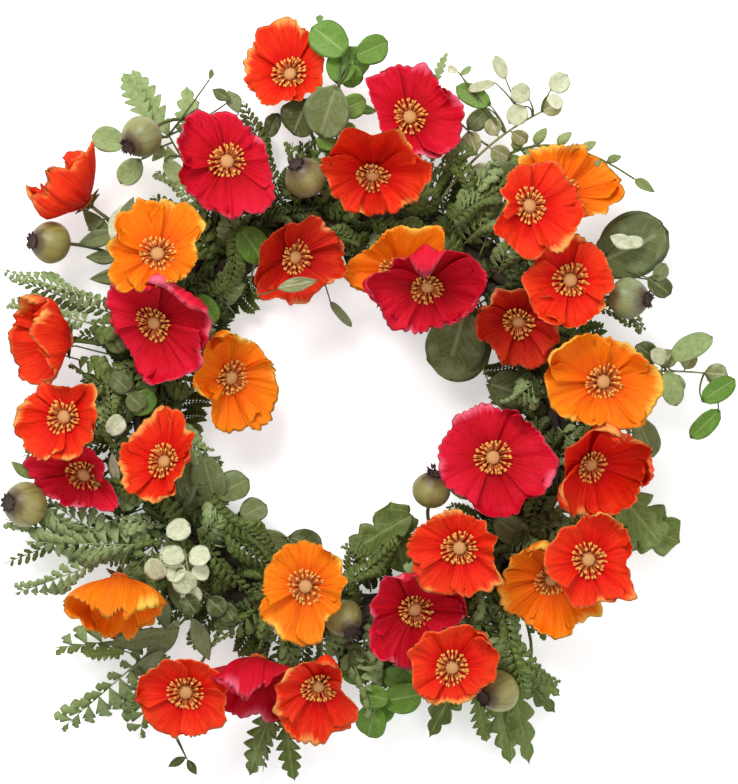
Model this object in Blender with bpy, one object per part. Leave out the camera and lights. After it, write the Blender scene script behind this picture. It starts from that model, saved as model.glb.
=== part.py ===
"""Wreath of fabric poppies, seed pods and leaf sprays on a vine ring, lying on its back.

Metres, +Z up and out of the wreath's face, +Y towards the top of the hung wreath. Blooms, pods and
sprays are placed around the ring's centre by an angle, anticlockwise from +X, and a distance out.
"""

import math
from collections import namedtuple

import bmesh
import bpy
from mathutils import Matrix, Vector
from mathutils.bvhtree import BVHTree

# Driving dimensions
RING_RADIUS = 0.175  # centre line of the vine ring
VINE_WIDTH = 0.046  # ring section, across
VINE_HEIGHT = 0.042  # ring section, up from the surface it lies on
BACK_WIDTH = 0.024  # flat underside of the ring
VINE_RIDGE = 0.0030  # how far the wound strands stand out
BLOOM_RADIUS = 0.045
PETAL_THICKNESS = 0.0016
PETAL_UNEVEN = 0.07  # how much petals differ in length, as a share of it
PETAL_NOTCH = 0.24  # how much shorter a bloom is between two petals
PETAL_RUFFLE = 0.07  # waves of the rim, as a share of the length
CUP_DRAW = 0.30  # how far a full cup and a full curl draw the rim in, and the curl lifts it
CURL_DRAW = 0.45
CURL_RISE = 0.75
MID_SHARE = 0.55  # where the petals have a bend between their base and rim
CALYX_RADIUS = 0.0048
CALYX_DEPTH = 0.0055
BOSS_RADIUS = 0.0135  # the ring of stamens
BOSS_HEIGHT = 0.0085
BOSS_FOOT = 0.7  # its foot and the floor of its dish, as shares of its radius and height
BOSS_DISH = 0.8
STEM_RADIUS = 0.0015
STEM_BEND = 0.5  # share of its length at which a stem turns from the bloom's axis to its root
POD_RADIUS = 0.0165
POD_LENGTH = 0.036
POD_DISH = 0.94  # the floor of the dish in its crown, as a share of the length
TWIG_RADIUS = 0.0014  # stems of the leaf sprays
LEAF_LENGTH = 0.032  # a round leaf's
LEAF_THICKNESS = 0.0014
LEAF_HANG = 0.22  # how steeply the paired leaves hang from their twig, as a rise over run
LEAF_ROLL = 0.36  # how far they turn over towards the tip, so that they lie like shingles
LEAF_DROOP = 0.16  # how far a leaf's tip drops, as a share of its length
LEAF_FOLD = 0.22  # how steeply its halves rise from the midrib
LAST_PAIR = 0.94  # where on its twig the last pair stands, and how much smaller it is
LAST_SHRINK = 0.35
TIP_LEAF = 0.9  # size of the single leaf at the end of a twig with pairs
FRINGE_HEIGHT = 0.011  # where the fern fringes leave the ring's flanks
FRINGE_RISE = 0.018  # how much higher their tips are
FRINGE_THICKNESS = 0.0018
FRINGE_UNEVEN = 0.010  # how much the fronds' reach varies
FROND_HEART = 0.2  # how far out the middle of a frond's face is
DOME_HEIGHT = 0.084  # height of the blooms' bases over the ring
DOME_FALL = 0.028  # how much lower they sit one dome reach away from it
DOME_REACH = 0.125
LAYER_STEP = 0.015  # one bloom passing over another
FIT_GAP = 0.0003  # between a stem and the vines that it stands in
CLEARANCE = 0.0008  # between a bloom, pod or spray and its neighbours

# Counts
RING_SEGMENTS = 30
SECTION_SIDES = 8
STRANDS = 3
STRAND_TURNS = 6  # even, so that the ring's box is centred on the ring
RIM_STEPS = 6  # points on a bloom's rim for each petal
MID_STEPS = 2  # the same half way in
TWIG_SIDES = 3
STEM_STEPS = 2
POD_SIDES = 8
POD_STEM_SIDES = 4

# How a piece is moved until it clears its neighbours: up, and its root round the ring, in degrees
LIFT_STEP = 0.004
LIFTS_UP = 30
LIFTS_DOWN = 2
SHIFT_STEP = 3
SHIFTS = 8

COLOURS = {
    "scarlet": (0.80, 0.06, 0.02),
    "crimson": (0.70, 0.01, 0.05),
    "orange": (0.95, 0.30, 0.01),
    "pod": (0.30, 0.32, 0.14),
    "vine": (0.10, 0.06, 0.035),
    "fern": (0.10, 0.20, 0.05),
    "bright_leaf": (0.12, 0.30, 0.05),
    "grey_leaf": (0.16, 0.24, 0.13),
    "silver_leaf": (0.50, 0.56, 0.34),
}
ROUGHNESS = {"vine": 0.9, "pod": 0.5, "bright_leaf": 0.4}

# Blooms: out is a share of RING_RADIUS and size one of BLOOM_RADIUS, turn is the first petal's direction,
# lean_to and lean give the way and the angle by which the bloom is tipped, cup is its depth and curl
# folds the first petal over, both as shares of the petal's length. Angles are in degrees.
Bloom = namedtuple("Bloom", "tint around out size petals turn lean_to lean cup curl layer")
BLOOMS = (
    Bloom("scarlet", 100, 1.703, 0.90, 5, 30, 130, 20, 0.34, 0.0, 0),
    Bloom("crimson", 79, 1.491, 1.14, 4, 75, 60, 14, 0.26, 0.0, 0),
    Bloom("crimson", 116, 1.377, 1.14, 5, 80, 60, 8, 0.20, 0.0, 1),
    Bloom("scarlet", 85, 1.189, 1.18, 4, 90, 272, 40, 0.34, 0.2, 1),
    Bloom("scarlet", 141, 1.674, 1.04, 4, 320, 140, 64, 0.50, 0.3, 0),
    Bloom("orange", 140, 1.211, 1.00, 5, 55, 85, 14, 0.24, 0.0, 1),
    Bloom("scarlet", 110, 0.829, 1.08, 4, 170, 350, 26, 0.34, 0.3, 0),
    Bloom("orange", 72, 0.754, 1.08, 4, 60, 215, 28, 0.36, 0.0, -1),
    Bloom("crimson", 60, 0.737, 1.18, 4, 90, 265, 34, 0.34, 0.4, 1),
    Bloom("orange", 47, 1.497, 1.22, 5, 30, 45, 32, 0.34, 0.0, -1),
    Bloom("scarlet", 50, 1.320, 1.02, 4, 60, 15, 20, 0.26, 0.0, 1),
    Bloom("scarlet", 32, 1.251, 1.00, 4, 110, 0, 4, 0.24, 0.0, 1),
    Bloom("scarlet", 30, 0.949, 0.96, 4, 100, 262, 28, 0.36, 0.1, -1),
    Bloom("orange", 8, 1.223, 1.14, 5, 60, 0, 8, 0.24, 0.0, 1),
    Bloom("crimson", 154, 1.057, 1.20, 4, 35, 225, 28, 0.30, 0.3, 0),
    Bloom("orange", 162, 0.634, 1.10, 4, 70, 335, 34, 0.28, 0.0, -1),
    Bloom("scarlet", 165, 1.440, 1.14, 4, 10, 178, 46, 0.46, 0.3, 0),
    Bloom("scarlet", 180, 1.377, 0.94, 5, 20, 165, 16, 0.28, 0.0, 1),
    Bloom("crimson", 192, 1.337, 1.06, 4, 150, 235, 28, 0.26, 0.0, -1),
    Bloom("scarlet", 194, 0.931, 0.98, 5, 120, 135, 26, 0.34, 0.0, 0),
    Bloom("crimson", 344, 0.714, 1.16, 4, 100, 0, 3, 0.18, 0.0, 1),
    Bloom("scarlet", 349, 1.183, 1.08, 4, 130, 315, 32, 0.34, 0.3, 0),
    Bloom("scarlet", 310, 0.823, 0.96, 5, 90, 215, 14, 0.26, 0.0, 1),
    Bloom("scarlet", 329, 1.331, 1.04, 4, 80, 0, 5, 0.28, 0.0, 1),
    Bloom("orange", 321, 1.269, 1.14, 5, 200, 225, 26, 0.44, 0.0, -1),
    Bloom("orange", 255, 0.851, 1.04, 5, 90, 90, 5, 0.20, 0.0, 1),
    Bloom("orange", 215, 1.383, 1.12, 4, 90, 265, 44, 0.50, 0.3, 0),
    Bloom("crimson", 288, 0.989, 1.18, 4, 150, 315, 20, 0.28, 0.2, -1),
    Bloom("scarlet", 292, 1.309, 0.96, 4, 90, 270, 8, 0.28, 0.0, 1),
    Bloom("scarlet", 239, 1.560, 0.98, 4, 50, 255, 10, 0.26, 0.0, 0),
    Bloom("crimson", 249, 1.286, 1.12, 4, 90, 262, 40, 0.46, 0.3, -1),
    Bloom("scarlet", 263, 1.309, 0.94, 4, 80, 278, 28, 0.36, 0.0, 1),
)

# Seed pods: out is a share of RING_RADIUS, up one of DOME_HEIGHT, and they lean the way their crown points
Pod = namedtuple("Pod", "around out up size lean_to lean")
PODS = (
    Pod(127, 1.703, 0.952, 1.00, 222, 50),
    Pod(150, 1.714, 0.786, 1.02, 178, 50),
    Pod(101, 1.194, 0.952, 1.00, 125, 46),
    Pod(23, 1.480, 0.952, 1.00, 355, 58),
    Pod(318, 0.531, 0.833, 0.92, 80, 62),
    Pod(195, 1.669, 0.690, 1.10, 170, 40),
    Pod(268, 0.989, 0.952, 0.92, 300, 50),
    Pod(298, 1.531, 0.619, 1.02, 200, 50),
)

# Leaf sprays: the twig leaves the ring at root and runs to around and out, arching up and swaying to
# its left. Its pairs of leaves begin at a share of its length; length and width are the largest leaf's,
# as shares of LEAF_LENGTH, out is a share of RING_RADIUS, and up and arch are shares of DOME_HEIGHT.
Spray = namedtuple(
    "Spray", "name colour leaf root around out up arch sway pairs first length width splay"
)
SPRAYS = (
    Spray("ivy_sprig_top", "bright_leaf", "round", 93, 92, 1.629, 1.024, 0.119, 0.05, 3, 0.44,
          1.000, 0.906, 74),
    Spray("disc_sprig_top_right", "silver_leaf", "disc", 69, 58, 1.771, 0.714, 0.119, 0.16, 3,
          0.46, 0.656, 0.625, 72),
    Spray("bud_sprig_upper_right", "fern", "bud", 66, 40, 1.817, 0.786, 0.000, 0.62, 3, 0.50,
          0.938, 0.375, 46),
    Spray("broad_leaf_right", "grey_leaf", "round", 28, 32, 1.817, 0.524, 0.000, 0.05, 0, 0.60,
          2.000, 1.750, 0),
    Spray("disc_sprig_right", "silver_leaf", "disc", 8, 7, 1.760, 0.595, 0.000, 0.10, 3, 0.50,
          0.719, 0.688, 64),
    Spray("lobed_leaf_right", "fern", "lobed", 342, 339, 1.749, 0.476, 0.000, 0.00, 0, 0.60, 2.656,
          1.625, 0),
    Spray("fern_lower_right", "fern", "serrated", 306, 300, 1.400, 0.500, 0.000, 0.05, 1, 0.66,
          3.281, 1.062, 40),
    Spray("ivy_sprig_bottom", "bright_leaf", "round", 276, 276, 1.371, 0.476, 0.000, 0.10, 1, 0.60,
          1.062, 1.000, 75),
    Spray("fern_lower_left", "fern", "serrated", 232, 229, 1.629, 0.500, 0.000, 0.03, 1, 0.66,
          3.062, 0.938, 38),
    Spray("lance_leaves_lower_left", "grey_leaf", "lance", 221, 222, 1.371, 0.548, 0.000, 0.10, 2,
          0.42, 1.625, 0.688, 50),
    Spray("lance_leaves_upper_left", "grey_leaf", "lance", 147, 144, 1.457, 0.571, 0.000, 0.05, 2,
          0.48, 1.438, 0.562, 50),
    Spray("serrated_leaf_top_left", "fern", "serrated", 124, 123, 1.657, 0.643, 0.000, 0.02, 1,
          0.68, 2.344, 0.875, 38),
    Spray("broad_leaf_inner_right", "grey_leaf", "round", 26, 36, 0.480, 0.595, 0.000, 0.05, 0,
          0.60, 1.750, 1.750, 0),
    Spray("leaf_sprig_inner_left", "grey_leaf", "round", 188, 232, 0.743, 0.595, 0.119, 0.00, 2,
          0.46, 1.062, 1.000, 62),
    Spray("disc_sprig_lower_left", "silver_leaf", "disc", 208, 226, 1.131, 1.024, 0.238, 0.10, 2,
          0.50, 0.719, 0.688, 68),
    Spray("lobed_leaf_inner_bottom", "fern", "lobed", 287, 294, 0.486, 0.548, 0.000, 0.00, 0, 0.60,
          1.938, 1.438, 0),
)

# Rings of fern fronds fused at their bases. Side is the ring's flank that they hug, outer or inner;
# joint, valley and reach are how far from that flank the webs, the gaps and the tips lie. Each frond's
# outline has prongs and notches, as how far aside they are in half steps and how far they reach. Long
# fronds reach out to a share of RING_RADIUS at an angle.
Fringe = namedtuple("Fringe", "name side joint valley reach outline")
FRINGES = (
    Fringe("outer_fern_fringe", 1, 0.007, 0.015, 0.052,
           ((-0.66, 0.75), (-0.30, 0.38), (0.0, 1.0), (0.32, 0.42), (0.62, 0.85))),
    Fringe("inner_fern_fringe", -1, 0.005, 0.010, 0.030, ((-0.50, 1.0), (0.02, 0.25), (0.55, 0.85))),
)
LONG_FRONDS = (
    (75, 1.611), (109, 1.669), (158, 1.851), (187, 1.657), (203, 1.886), (256, 1.829), (356, 1.520)
)


def polar(around, out, up):
    """The point at an angle around the ring, a distance out from its centre and a height."""
    angle = math.radians(around)
    return Vector((out * math.cos(angle), out * math.sin(angle), up))


def ring_core(around):
    """The middle of the vine bundle at an angle around the ring."""
    return polar(around, RING_RADIUS, VINE_HEIGHT / 2)


def spread(seed, step):
    """A fixed, uneven value from -1 to 1 for each pair of numbers."""
    return math.sin(seed * 12.9898 + step * 78.233)


def bent_path(start, control, end, steps):
    """Points of a quadratic curve."""
    for step in range(steps + 1):
        t = step / steps
        yield start * (1 - t) ** 2 + control * 2 * t * (1 - t) + end * t**2


def object_from(bm, name):
    """The finished object of closed shells whose faces point outwards."""
    mesh = bpy.data.meshes.new(name)
    bm.to_mesh(mesh)
    bm.free()
    built = bpy.data.objects.new(name, mesh)
    bpy.context.scene.collection.objects.link(built)
    return built


def add_ring(bm, points):
    return [bm.verts.new(point) for point in points]


def join_rings(bm, low, high, inwards=False):
    """Faces between two rings of points, one with a whole multiple of the other's count.

    Both run anticlockwise as seen from the high one's side, and the faces point away from their middle,
    or towards it.
    """
    fine, coarse = (low, high) if len(low) >= len(high) else (high, low)
    ratio = len(fine) // len(coarse)
    middle = ratio // 2
    for corner, point in enumerate(coarse):
        following = coarse[(corner + 1) % len(coarse)]
        arc = [fine[(corner * ratio + step) % len(fine)] for step in range(ratio + 1)]
        faces = [(point, arc[middle], following)]
        faces += [(arc[step], arc[step + 1], point) for step in range(middle)]
        faces += [(arc[step], arc[step + 1], following) for step in range(middle, ratio)]
        for face in faces:
            bm.faces.new(face if (fine is low) != inwards else face[::-1])


def fan(bm, ring, point):
    """Faces from a ring of points up to one point."""
    apex = bm.verts.new(point)
    for corner, vertex in enumerate(ring):
        bm.faces.new((vertex, ring[(corner + 1) % len(ring)], apex))


def tube_rings(bm, path, radius, sides, first_across):
    """Rings of points along a path, each square to it, anticlockwise as seen from the path's start."""
    rings = []
    across = first_across
    for index, centre in enumerate(path):
        ahead = path[min(index + 1, len(path) - 1)] - path[max(index - 1, 0)]
        ahead.normalize()
        across = (across - ahead * across.dot(ahead)).normalized()
        beside = across.cross(ahead)
        rings.append(
            add_ring(
                bm,
                [
                    centre + (across * math.cos(a) + beside * math.sin(a)) * radius
                    for a in (math.tau * side / sides for side in range(sides))
                ],
            )
        )
    return rings


def add_stem(bm, top_ring, sides, base, axis, root, across):
    """A stem from a ring of points at a base down to its root: it leaves along the axis and bends."""
    bend = base - axis * (base - root).length * STEM_BEND
    path = list(bent_path(base, bend, root, STEM_STEPS))
    rings = [top_ring, *tube_rings(bm, path, STEM_RADIUS, sides, across)]
    for above, below in zip(rings, rings[1:]):
        join_rings(bm, below, above)
    bm.faces.new(rings[-1][::-1])


def vine_section(around, margin):
    """The ring's section at an angle, grown by a margin: wound strands over a flat underside."""
    half_back = BACK_WIDTH / 2
    start = -math.acos(half_back / (VINE_WIDTH / 2))
    sweep = math.pi - 2 * start
    for side in range(SECTION_SIDES):
        share = side / (SECTION_SIDES - 1)
        angle = start + sweep * share
        wave = math.cos(STRANDS * angle - STRAND_TURNS * math.radians(around))
        grown = margin + VINE_RIDGE * wave * math.sin(math.pi * share) ** 0.5
        across = (VINE_WIDTH / 2 + grown) * math.cos(angle)
        up = VINE_HEIGHT / 2 + (VINE_HEIGHT / 2 + grown) * math.sin(angle)
        if side in (0, SECTION_SIDES - 1):
            up = -margin
        yield polar(around, RING_RADIUS + across, max(up, -margin))


def build_vine_ring(name, margin=0.0):
    bm = bmesh.new()
    step = 360 / RING_SEGMENTS
    sections = [add_ring(bm, vine_section(index * step, margin)) for index in range(RING_SEGMENTS)]
    for section, following in zip(sections, sections[1:] + sections[:1]):
        join_rings(bm, following, section)
    return object_from(bm, name)


def bloom_frame(bloom, lift):
    """The bloom's base, and its own axes as columns: its face looks along the third."""
    away = (bloom.out - 1) * RING_RADIUS / DOME_REACH
    up = DOME_HEIGHT - DOME_FALL * away**2 + bloom.layer * LAYER_STEP + lift
    tip = Matrix.Rotation(math.radians(bloom.lean), 3, polar(bloom.lean_to + 90, 1, 0))
    return polar(bloom.around, bloom.out * RING_RADIUS, up), tip


def bloom_surface(bloom, number, share, turn):
    """A point of the petals' upper face in the bloom's own axes: share 0 at its base, 1 at the rim."""
    angle = math.radians(turn - bloom.turn)
    lobe = abs(math.cos(bloom.petals * angle / 2))
    petal = round(math.degrees(angle) * bloom.petals / 360) % bloom.petals
    length = BLOOM_RADIUS * bloom.size * (1 + PETAL_UNEVEN * spread(number, petal))
    length *= 1 - PETAL_NOTCH * (1 - lobe) ** 2
    curled = bloom.curl * max(0.0, math.cos(angle)) ** 2
    ruffle = PETAL_RUFFLE * math.sin(3 * bloom.petals * angle + number) * share**2
    drawn = CUP_DRAW * bloom.cup * share**2 + CURL_DRAW * curled * share
    reach = length * share * (1 - drawn)
    rise = length * (bloom.cup * share**1.7 + ruffle + CURL_RISE * curled * share**1.6)
    spin = math.radians(turn)
    return Vector((reach * math.cos(spin), reach * math.sin(spin), rise))


def build_bloom(name, bloom, number, lift, root_shift):
    """One poppy: lobed petals, a raised boss of stamens, a calyx and the stem that it stands on."""
    base, tip = bloom_frame(bloom, lift)
    bm = bmesh.new()

    def petal_ring(share, steps, drop):
        count = steps * bloom.petals
        turns = (bloom.turn + 360 * step / count for step in range(count))
        points = []
        for turn in turns:
            on_face = bloom_surface(bloom, number, share, turn)
            points.append(base + tip @ (on_face + polar(turn, drop, -drop)))
        return add_ring(bm, points)

    def round_ring(radius, up):
        turns = (bloom.turn + 360 * step / bloom.petals for step in range(bloom.petals))
        return add_ring(bm, (base + tip @ polar(turn, radius, up) for turn in turns))

    rim = petal_ring(1.0, RIM_STEPS, 0.0)
    inside = petal_ring(MID_SHARE, MID_STEPS, 0.0)
    outside = petal_ring(MID_SHARE, MID_STEPS, PETAL_THICKNESS)
    boss = round_ring(BOSS_RADIUS * BOSS_FOOT, PETAL_THICKNESS / 2)
    boss_top = round_ring(BOSS_RADIUS, BOSS_HEIGHT)
    calyx = round_ring(CALYX_RADIUS, -CALYX_DEPTH / 2)
    join_rings(bm, rim, inside)
    join_rings(bm, inside, boss)
    join_rings(bm, boss, boss_top)
    fan(bm, boss_top, base + tip @ Vector((0, 0, BOSS_HEIGHT * BOSS_DISH)))
    join_rings(bm, rim, outside, inwards=True)
    join_rings(bm, calyx, outside)
    axis = tip.col[2]
    root = ring_core(bloom.around + root_shift)
    neck = base - axis * CALYX_DEPTH
    add_stem(bm, calyx, bloom.petals, neck, axis, root, tip @ polar(bloom.turn, 1, 0))
    return object_from(bm, name)


def pod_profile():
    """Radius and height along a pod from its stem to the crown on its nose."""
    yield 0.45 * POD_RADIUS, 0.06 * POD_LENGTH
    yield 0.96 * POD_RADIUS, 0.36 * POD_LENGTH
    yield 0.92 * POD_RADIUS, 0.62 * POD_LENGTH
    yield 0.42 * POD_RADIUS, 0.90 * POD_LENGTH
    yield 0.52 * POD_RADIUS, POD_LENGTH


def build_pod(name, pod, lift, root_shift):
    """One seed pod with its crown, on its stem."""
    tip = Matrix.Rotation(math.radians(pod.lean), 3, polar(pod.lean_to + 90, 1, 0))
    axis = tip.col[2]
    middle = polar(pod.around, pod.out * RING_RADIUS, pod.up * DOME_HEIGHT + lift)
    base = middle - axis * POD_LENGTH * pod.size / 2
    bm = bmesh.new()
    rings = []
    for radius, height in pod_profile():
        points = [
            base + tip @ polar(360 * step / POD_SIDES, radius, height) * pod.size
            for step in range(POD_SIDES)
        ]
        rings.append(add_ring(bm, points))
    for lower, upper in zip(rings, rings[1:]):
        join_rings(bm, lower, upper)
    fan(bm, rings[-1], base + axis * POD_LENGTH * pod.size * POD_DISH)
    root = ring_core(pod.around + root_shift)
    add_stem(bm, rings[0], POD_STEM_SIDES, base, axis, root, tip @ Vector((1, 0, 0)))
    return object_from(bm, name)


def leaf_stations(leaf):
    """Half of a leaf's outline: how far along it and how wide, as shares of its length and half width."""
    if leaf == "round":
        return ((0.14, 0.70), (0.50, 1.00), (0.86, 0.70))
    if leaf == "lance":
        return ((0.22, 0.72), (0.52, 1.00), (0.80, 0.58))
    if leaf == "disc":
        return ((0.25, 1.00), (0.75, 1.00))
    if leaf == "bud":
        return ((0.55, 1.00),)
    teeth, notch = (4, 0.52) if leaf == "serrated" else (3, 0.42)
    stations = []
    for tooth in range(teeth):
        for share, width in ((0.40, 1.0), (0.86, notch)):
            along = (tooth + share) / teeth * 0.94
            envelope = math.sin(math.pi * (0.20 + 0.66 * along))
            stations.append((along, width * envelope))
    return stations


def add_leaf(bm, base, along, up, length, width, leaf):
    """A thin leaf with sharp edges, raised on its midrib, drooping and folded up a little."""
    along = along.normalized()
    side = along.cross(up).normalized()
    up = side.cross(along)
    heel = bm.verts.new(base)
    end = bm.verts.new(base + (along - up * LEAF_DROOP) * length)
    rows = []
    for share, wide in leaf_stations(leaf):
        middle = base + (along * share - up * LEAF_DROOP * share**2) * length
        edge = wide * width / 2
        rows.append(
            (
                bm.verts.new(middle + side * edge + up * edge * LEAF_FOLD),
                bm.verts.new(middle + up * LEAF_THICKNESS / 2),
                bm.verts.new(middle - side * edge + up * edge * LEAF_FOLD),
                bm.verts.new(middle - up * LEAF_THICKNESS / 2),
            )
        )
    for corner in range(4):
        following = (corner + 1) % 4
        bm.faces.new((heel, rows[0][corner], rows[0][following]))
        bm.faces.new((end, rows[-1][following], rows[-1][corner]))
        for row, after in zip(rows, rows[1:]):
            bm.faces.new((row[corner], after[corner], after[following], row[following]))


def spray_spine(spray, lift, root_shift):
    """The three points that a spray's twig is bent through."""
    start = ring_core(spray.root + root_shift)
    end = polar(spray.around, spray.out * RING_RADIUS, spray.up * DOME_HEIGHT + lift)
    run = end - start
    left = Vector((-run.y, run.x, 0))
    control = (start + end) / 2 + left * spray.sway
    control.z = max(start.z, end.z) + spray.arch * DOME_HEIGHT
    return start, control, end


def along_path(path, share):
    """The point at a share of a path's corners, and the direction of the run that it is on."""
    run = min(int(share * (len(path) - 1)), len(path) - 2)
    ahead = path[run + 1] - path[run]
    return path[run] + ahead * (share * (len(path) - 1) - run), ahead.normalized()


def spray_leaves(spray, number, path):
    """Where each leaf of a spray stands on its twig: its base, direction, upper side and scale."""
    for step in range(2 * spray.pairs):
        done = step / (2 * spray.pairs)
        base, ahead = along_path(path, spray.first + (LAST_PAIR - spray.first) * done)
        side = 1 if step % 2 else -1
        splay = math.radians(spray.splay + 8 * spread(number, step))
        along = Matrix.Rotation(side * splay, 3, "Z") @ ahead
        along.z -= LEAF_HANG
        yield base, along, Vector((0, 0, 1)) - ahead * LEAF_ROLL, 1 - LAST_SHRINK * done
    end, ahead = along_path(path, 1)
    yield end - ahead * TWIG_RADIUS, ahead, Vector((0, 0, 1)), TIP_LEAF if spray.pairs else 1.0


def build_spray(name, spray, number, lift, root_shift):
    """A twig with its leaves: separate closed shapes, made one by the cut that seats it in the vines."""
    spine = spray_spine(spray, lift, root_shift)
    bm = bmesh.new()
    if spray.pairs == 0:
        leaf_run = (spine[2] - spine[0]).normalized() * spray.length * LEAF_LENGTH
        heel = spine[2] - leaf_run
        spine = (spine[0], (spine[0] + heel) / 2, heel)
    path = list(bent_path(*spine, STEM_STEPS))
    rings = tube_rings(bm, path, TWIG_RADIUS, TWIG_SIDES, Vector((0, 0, 1)))
    for ring, following in zip(rings, rings[1:]):
        join_rings(bm, following, ring)
    bm.faces.new(rings[0])
    bm.faces.new(rings[-1][::-1])
    for base, along, up, scale in spray_leaves(spray, number, path):
        size = LEAF_LENGTH * scale
        add_leaf(bm, base, along, up, spray.length * size, spray.width * size, spray.leaf)
    return object_from(bm, name)


def beyond_flank(fringe, away):
    """The distance out from the ring's centre at a distance from the flank that a fringe hugs."""
    return RING_RADIUS + fringe.side * (VINE_WIDTH / 2 + away)


def fringe_outline(fringe, number, around, half_step):
    """The outline of one frond of a fringe between its gaps: angle, distance out and share of the reach."""
    for prong, (aside, reach) in enumerate(fringe.outline):
        turn = around + aside * half_step
        valley = beyond_flank(fringe, fringe.valley)
        out = beyond_flank(fringe, fringe.reach) + FRINGE_UNEVEN * spread(number, prong)
        for long_around, long_out in LONG_FRONDS:
            if fringe.side > 0 and aside == 0 and abs(long_around - around) <= half_step:
                turn, out = long_around, long_out * RING_RADIUS
        yield turn, valley + (out - valley) * reach, reach


def build_fringe(fringe):
    """A ring of low fern fronds that hugs one flank of the vines."""
    bm = bmesh.new()
    step = 2 * 360 / RING_SEGMENTS
    flank = 1 if fringe.side > 0 else SECTION_SIDES - 2

    def vertex(around, out, share, rise=0.0):
        return bm.verts.new(polar(around, out, FRINGE_HEIGHT + share * FRINGE_RISE + rise))

    edges = []
    for segment in range(RING_SEGMENTS):
        section = vine_section(segment * 360 / RING_SEGMENTS, FIT_GAP)
        edges.append(bm.verts.new(list(section)[flank]))
    fronds = RING_SEGMENTS // 2
    joint_out = beyond_flank(fringe, fringe.joint)
    valley_out = beyond_flank(fringe, fringe.valley)
    heart_out = beyond_flank(fringe, fringe.valley + FROND_HEART * (fringe.reach - fringe.valley))
    valleys = [vertex(number * step, valley_out, 0) for number in range(fronds)]
    half = FRINGE_THICKNESS / 2
    outlines = []
    for number in range(fronds):
        points = fringe_outline(fringe, number, (number + 0.5) * step, step / 2)
        outlines.append([vertex(*point) for point in points])
    for rise in (half, -half):
        joints = [vertex(number * step, joint_out, 0, rise) for number in range(fronds)]
        for number in range(fronds):
            after = (number + 1) % fronds
            start, middle, end = edges[2 * number], edges[2 * number + 1], edges[2 * after]
            joint, next_joint = joints[number], joints[after]
            heart = vertex((number + 0.5) * step, heart_out, FROND_HEART, rise)
            outline = [joint, valleys[number], *outlines[number], valleys[after], next_joint]
            faces = [(middle, start, joint), (next_joint, middle, joint), (end, middle, next_joint)]
            faces += [(next_joint, joint, heart)]
            faces += [(a, b, heart) for a, b in zip(outline, outline[1:])]
            for face in faces:
                bm.faces.new(face if rise * fringe.side > 0 else face[::-1])
    return object_from(bm, fringe.name)


def tree_of(built, swell=0.0):
    """A search tree of an object's faces, moved out along its normals by a swell."""
    points = [vertex.co + vertex.normal * swell for vertex in built.data.vertices]
    return BVHTree.FromPolygons(points, [face.vertices[:] for face in built.data.polygons])


def to_and_fro(step, most, most_back):
    """Nothing, then ever larger moves to either side."""
    yield 0
    for count in range(1, most + 1):
        yield count * step
        if count <= most_back:
            yield -count * step


def placed_clear(build, placed):
    """The first way of building a piece in which it clears what is already placed."""
    for lift in to_and_fro(LIFT_STEP, LIFTS_UP, LIFTS_DOWN):
        for shift in to_and_fro(SHIFT_STEP, SHIFTS, SHIFTS):
            built = build(lift, shift)
            swollen = tree_of(built, CLEARANCE)
            if not any(swollen.overlap(tree) for tree in placed.values()):
                return built
            bpy.data.objects.remove(built)
    raise ValueError("a piece has no clear place")


def material(slot):
    made = bpy.data.materials.get(slot)
    if made is None:
        made = bpy.data.materials.new(slot)
        made.use_nodes = True
        shader = made.node_tree.nodes["Principled BSDF"]
        shader.inputs["Base Color"].default_value = (*COLOURS[slot], 1)
        shader.inputs["Roughness"].default_value = ROUGHNESS.get(slot, 0.65)
        shader.inputs["Metallic"].default_value = 0.0
    return made


def seat_in_vines(built, socket):
    """Cuts a stem off where it meets the vines, and makes a spray's leaves and twig one body."""
    cut = built.modifiers.new("seat", "BOOLEAN")
    cut.operation = "DIFFERENCE"
    cut.object = socket
    cut.use_self = True


def lowest_and_highest(objects):
    corners = [vertex.co for built in objects for vertex in built.data.vertices]
    return [[pick(corner[axis] for corner in corners) for axis in range(3)] for pick in (min, max)]


def main():
    for leftover in list(bpy.data.objects):
        bpy.data.objects.remove(leftover)
    ring = build_vine_ring("vine_ring")
    socket = build_vine_ring("stem_sockets", FIT_GAP)
    socket.hide_render = True
    socket.display_type = "WIRE"
    slots = {ring: "vine"}
    placed = {}

    def place(build, slot):
        built = placed_clear(build, placed)
        placed[built] = tree_of(built)
        slots[built] = slot
        seat_in_vines(built, socket)

    counts = {}
    blooms = []
    for number, bloom in enumerate(BLOOMS):
        counts[bloom.tint] = counts.get(bloom.tint, 0) + 1
        blooms.append((bloom.layer, number, f"{bloom.tint}_poppy_{counts[bloom.tint]:02d}", bloom))
    for fringe in FRINGES:
        built = build_fringe(fringe)
        placed[built] = tree_of(built)
        slots[built] = "fern"
    for number, spray in enumerate(SPRAYS):
        place(lambda lift, shift: build_spray(spray.name, spray, number, lift, shift), spray.colour)
    for layer, number, name, bloom in sorted(blooms, key=lambda row: row[:2]):
        place(lambda lift, shift: build_bloom(name, bloom, number, lift, shift), bloom.tint)
    for number, pod in enumerate(PODS):
        name = f"seed_pod_{number + 1}"
        place(lambda lift, shift: build_pod(name, pod, lift, shift), "pod")

    low, high = lowest_and_highest(slots)
    wreath = bpy.data.objects.new("wreath", None)
    bpy.context.scene.collection.objects.link(wreath)
    wreath.location = (-(low[0] + high[0]) / 2, -(low[1] + high[1]) / 2, 0)
    for built in [*slots, socket]:
        built.parent = wreath
    for built, slot in slots.items():
        built.data.materials.append(material(slot))
        built.data.shade_smooth()
        built.data.set_sharp_from_angle(angle=math.radians(50))


main()
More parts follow.
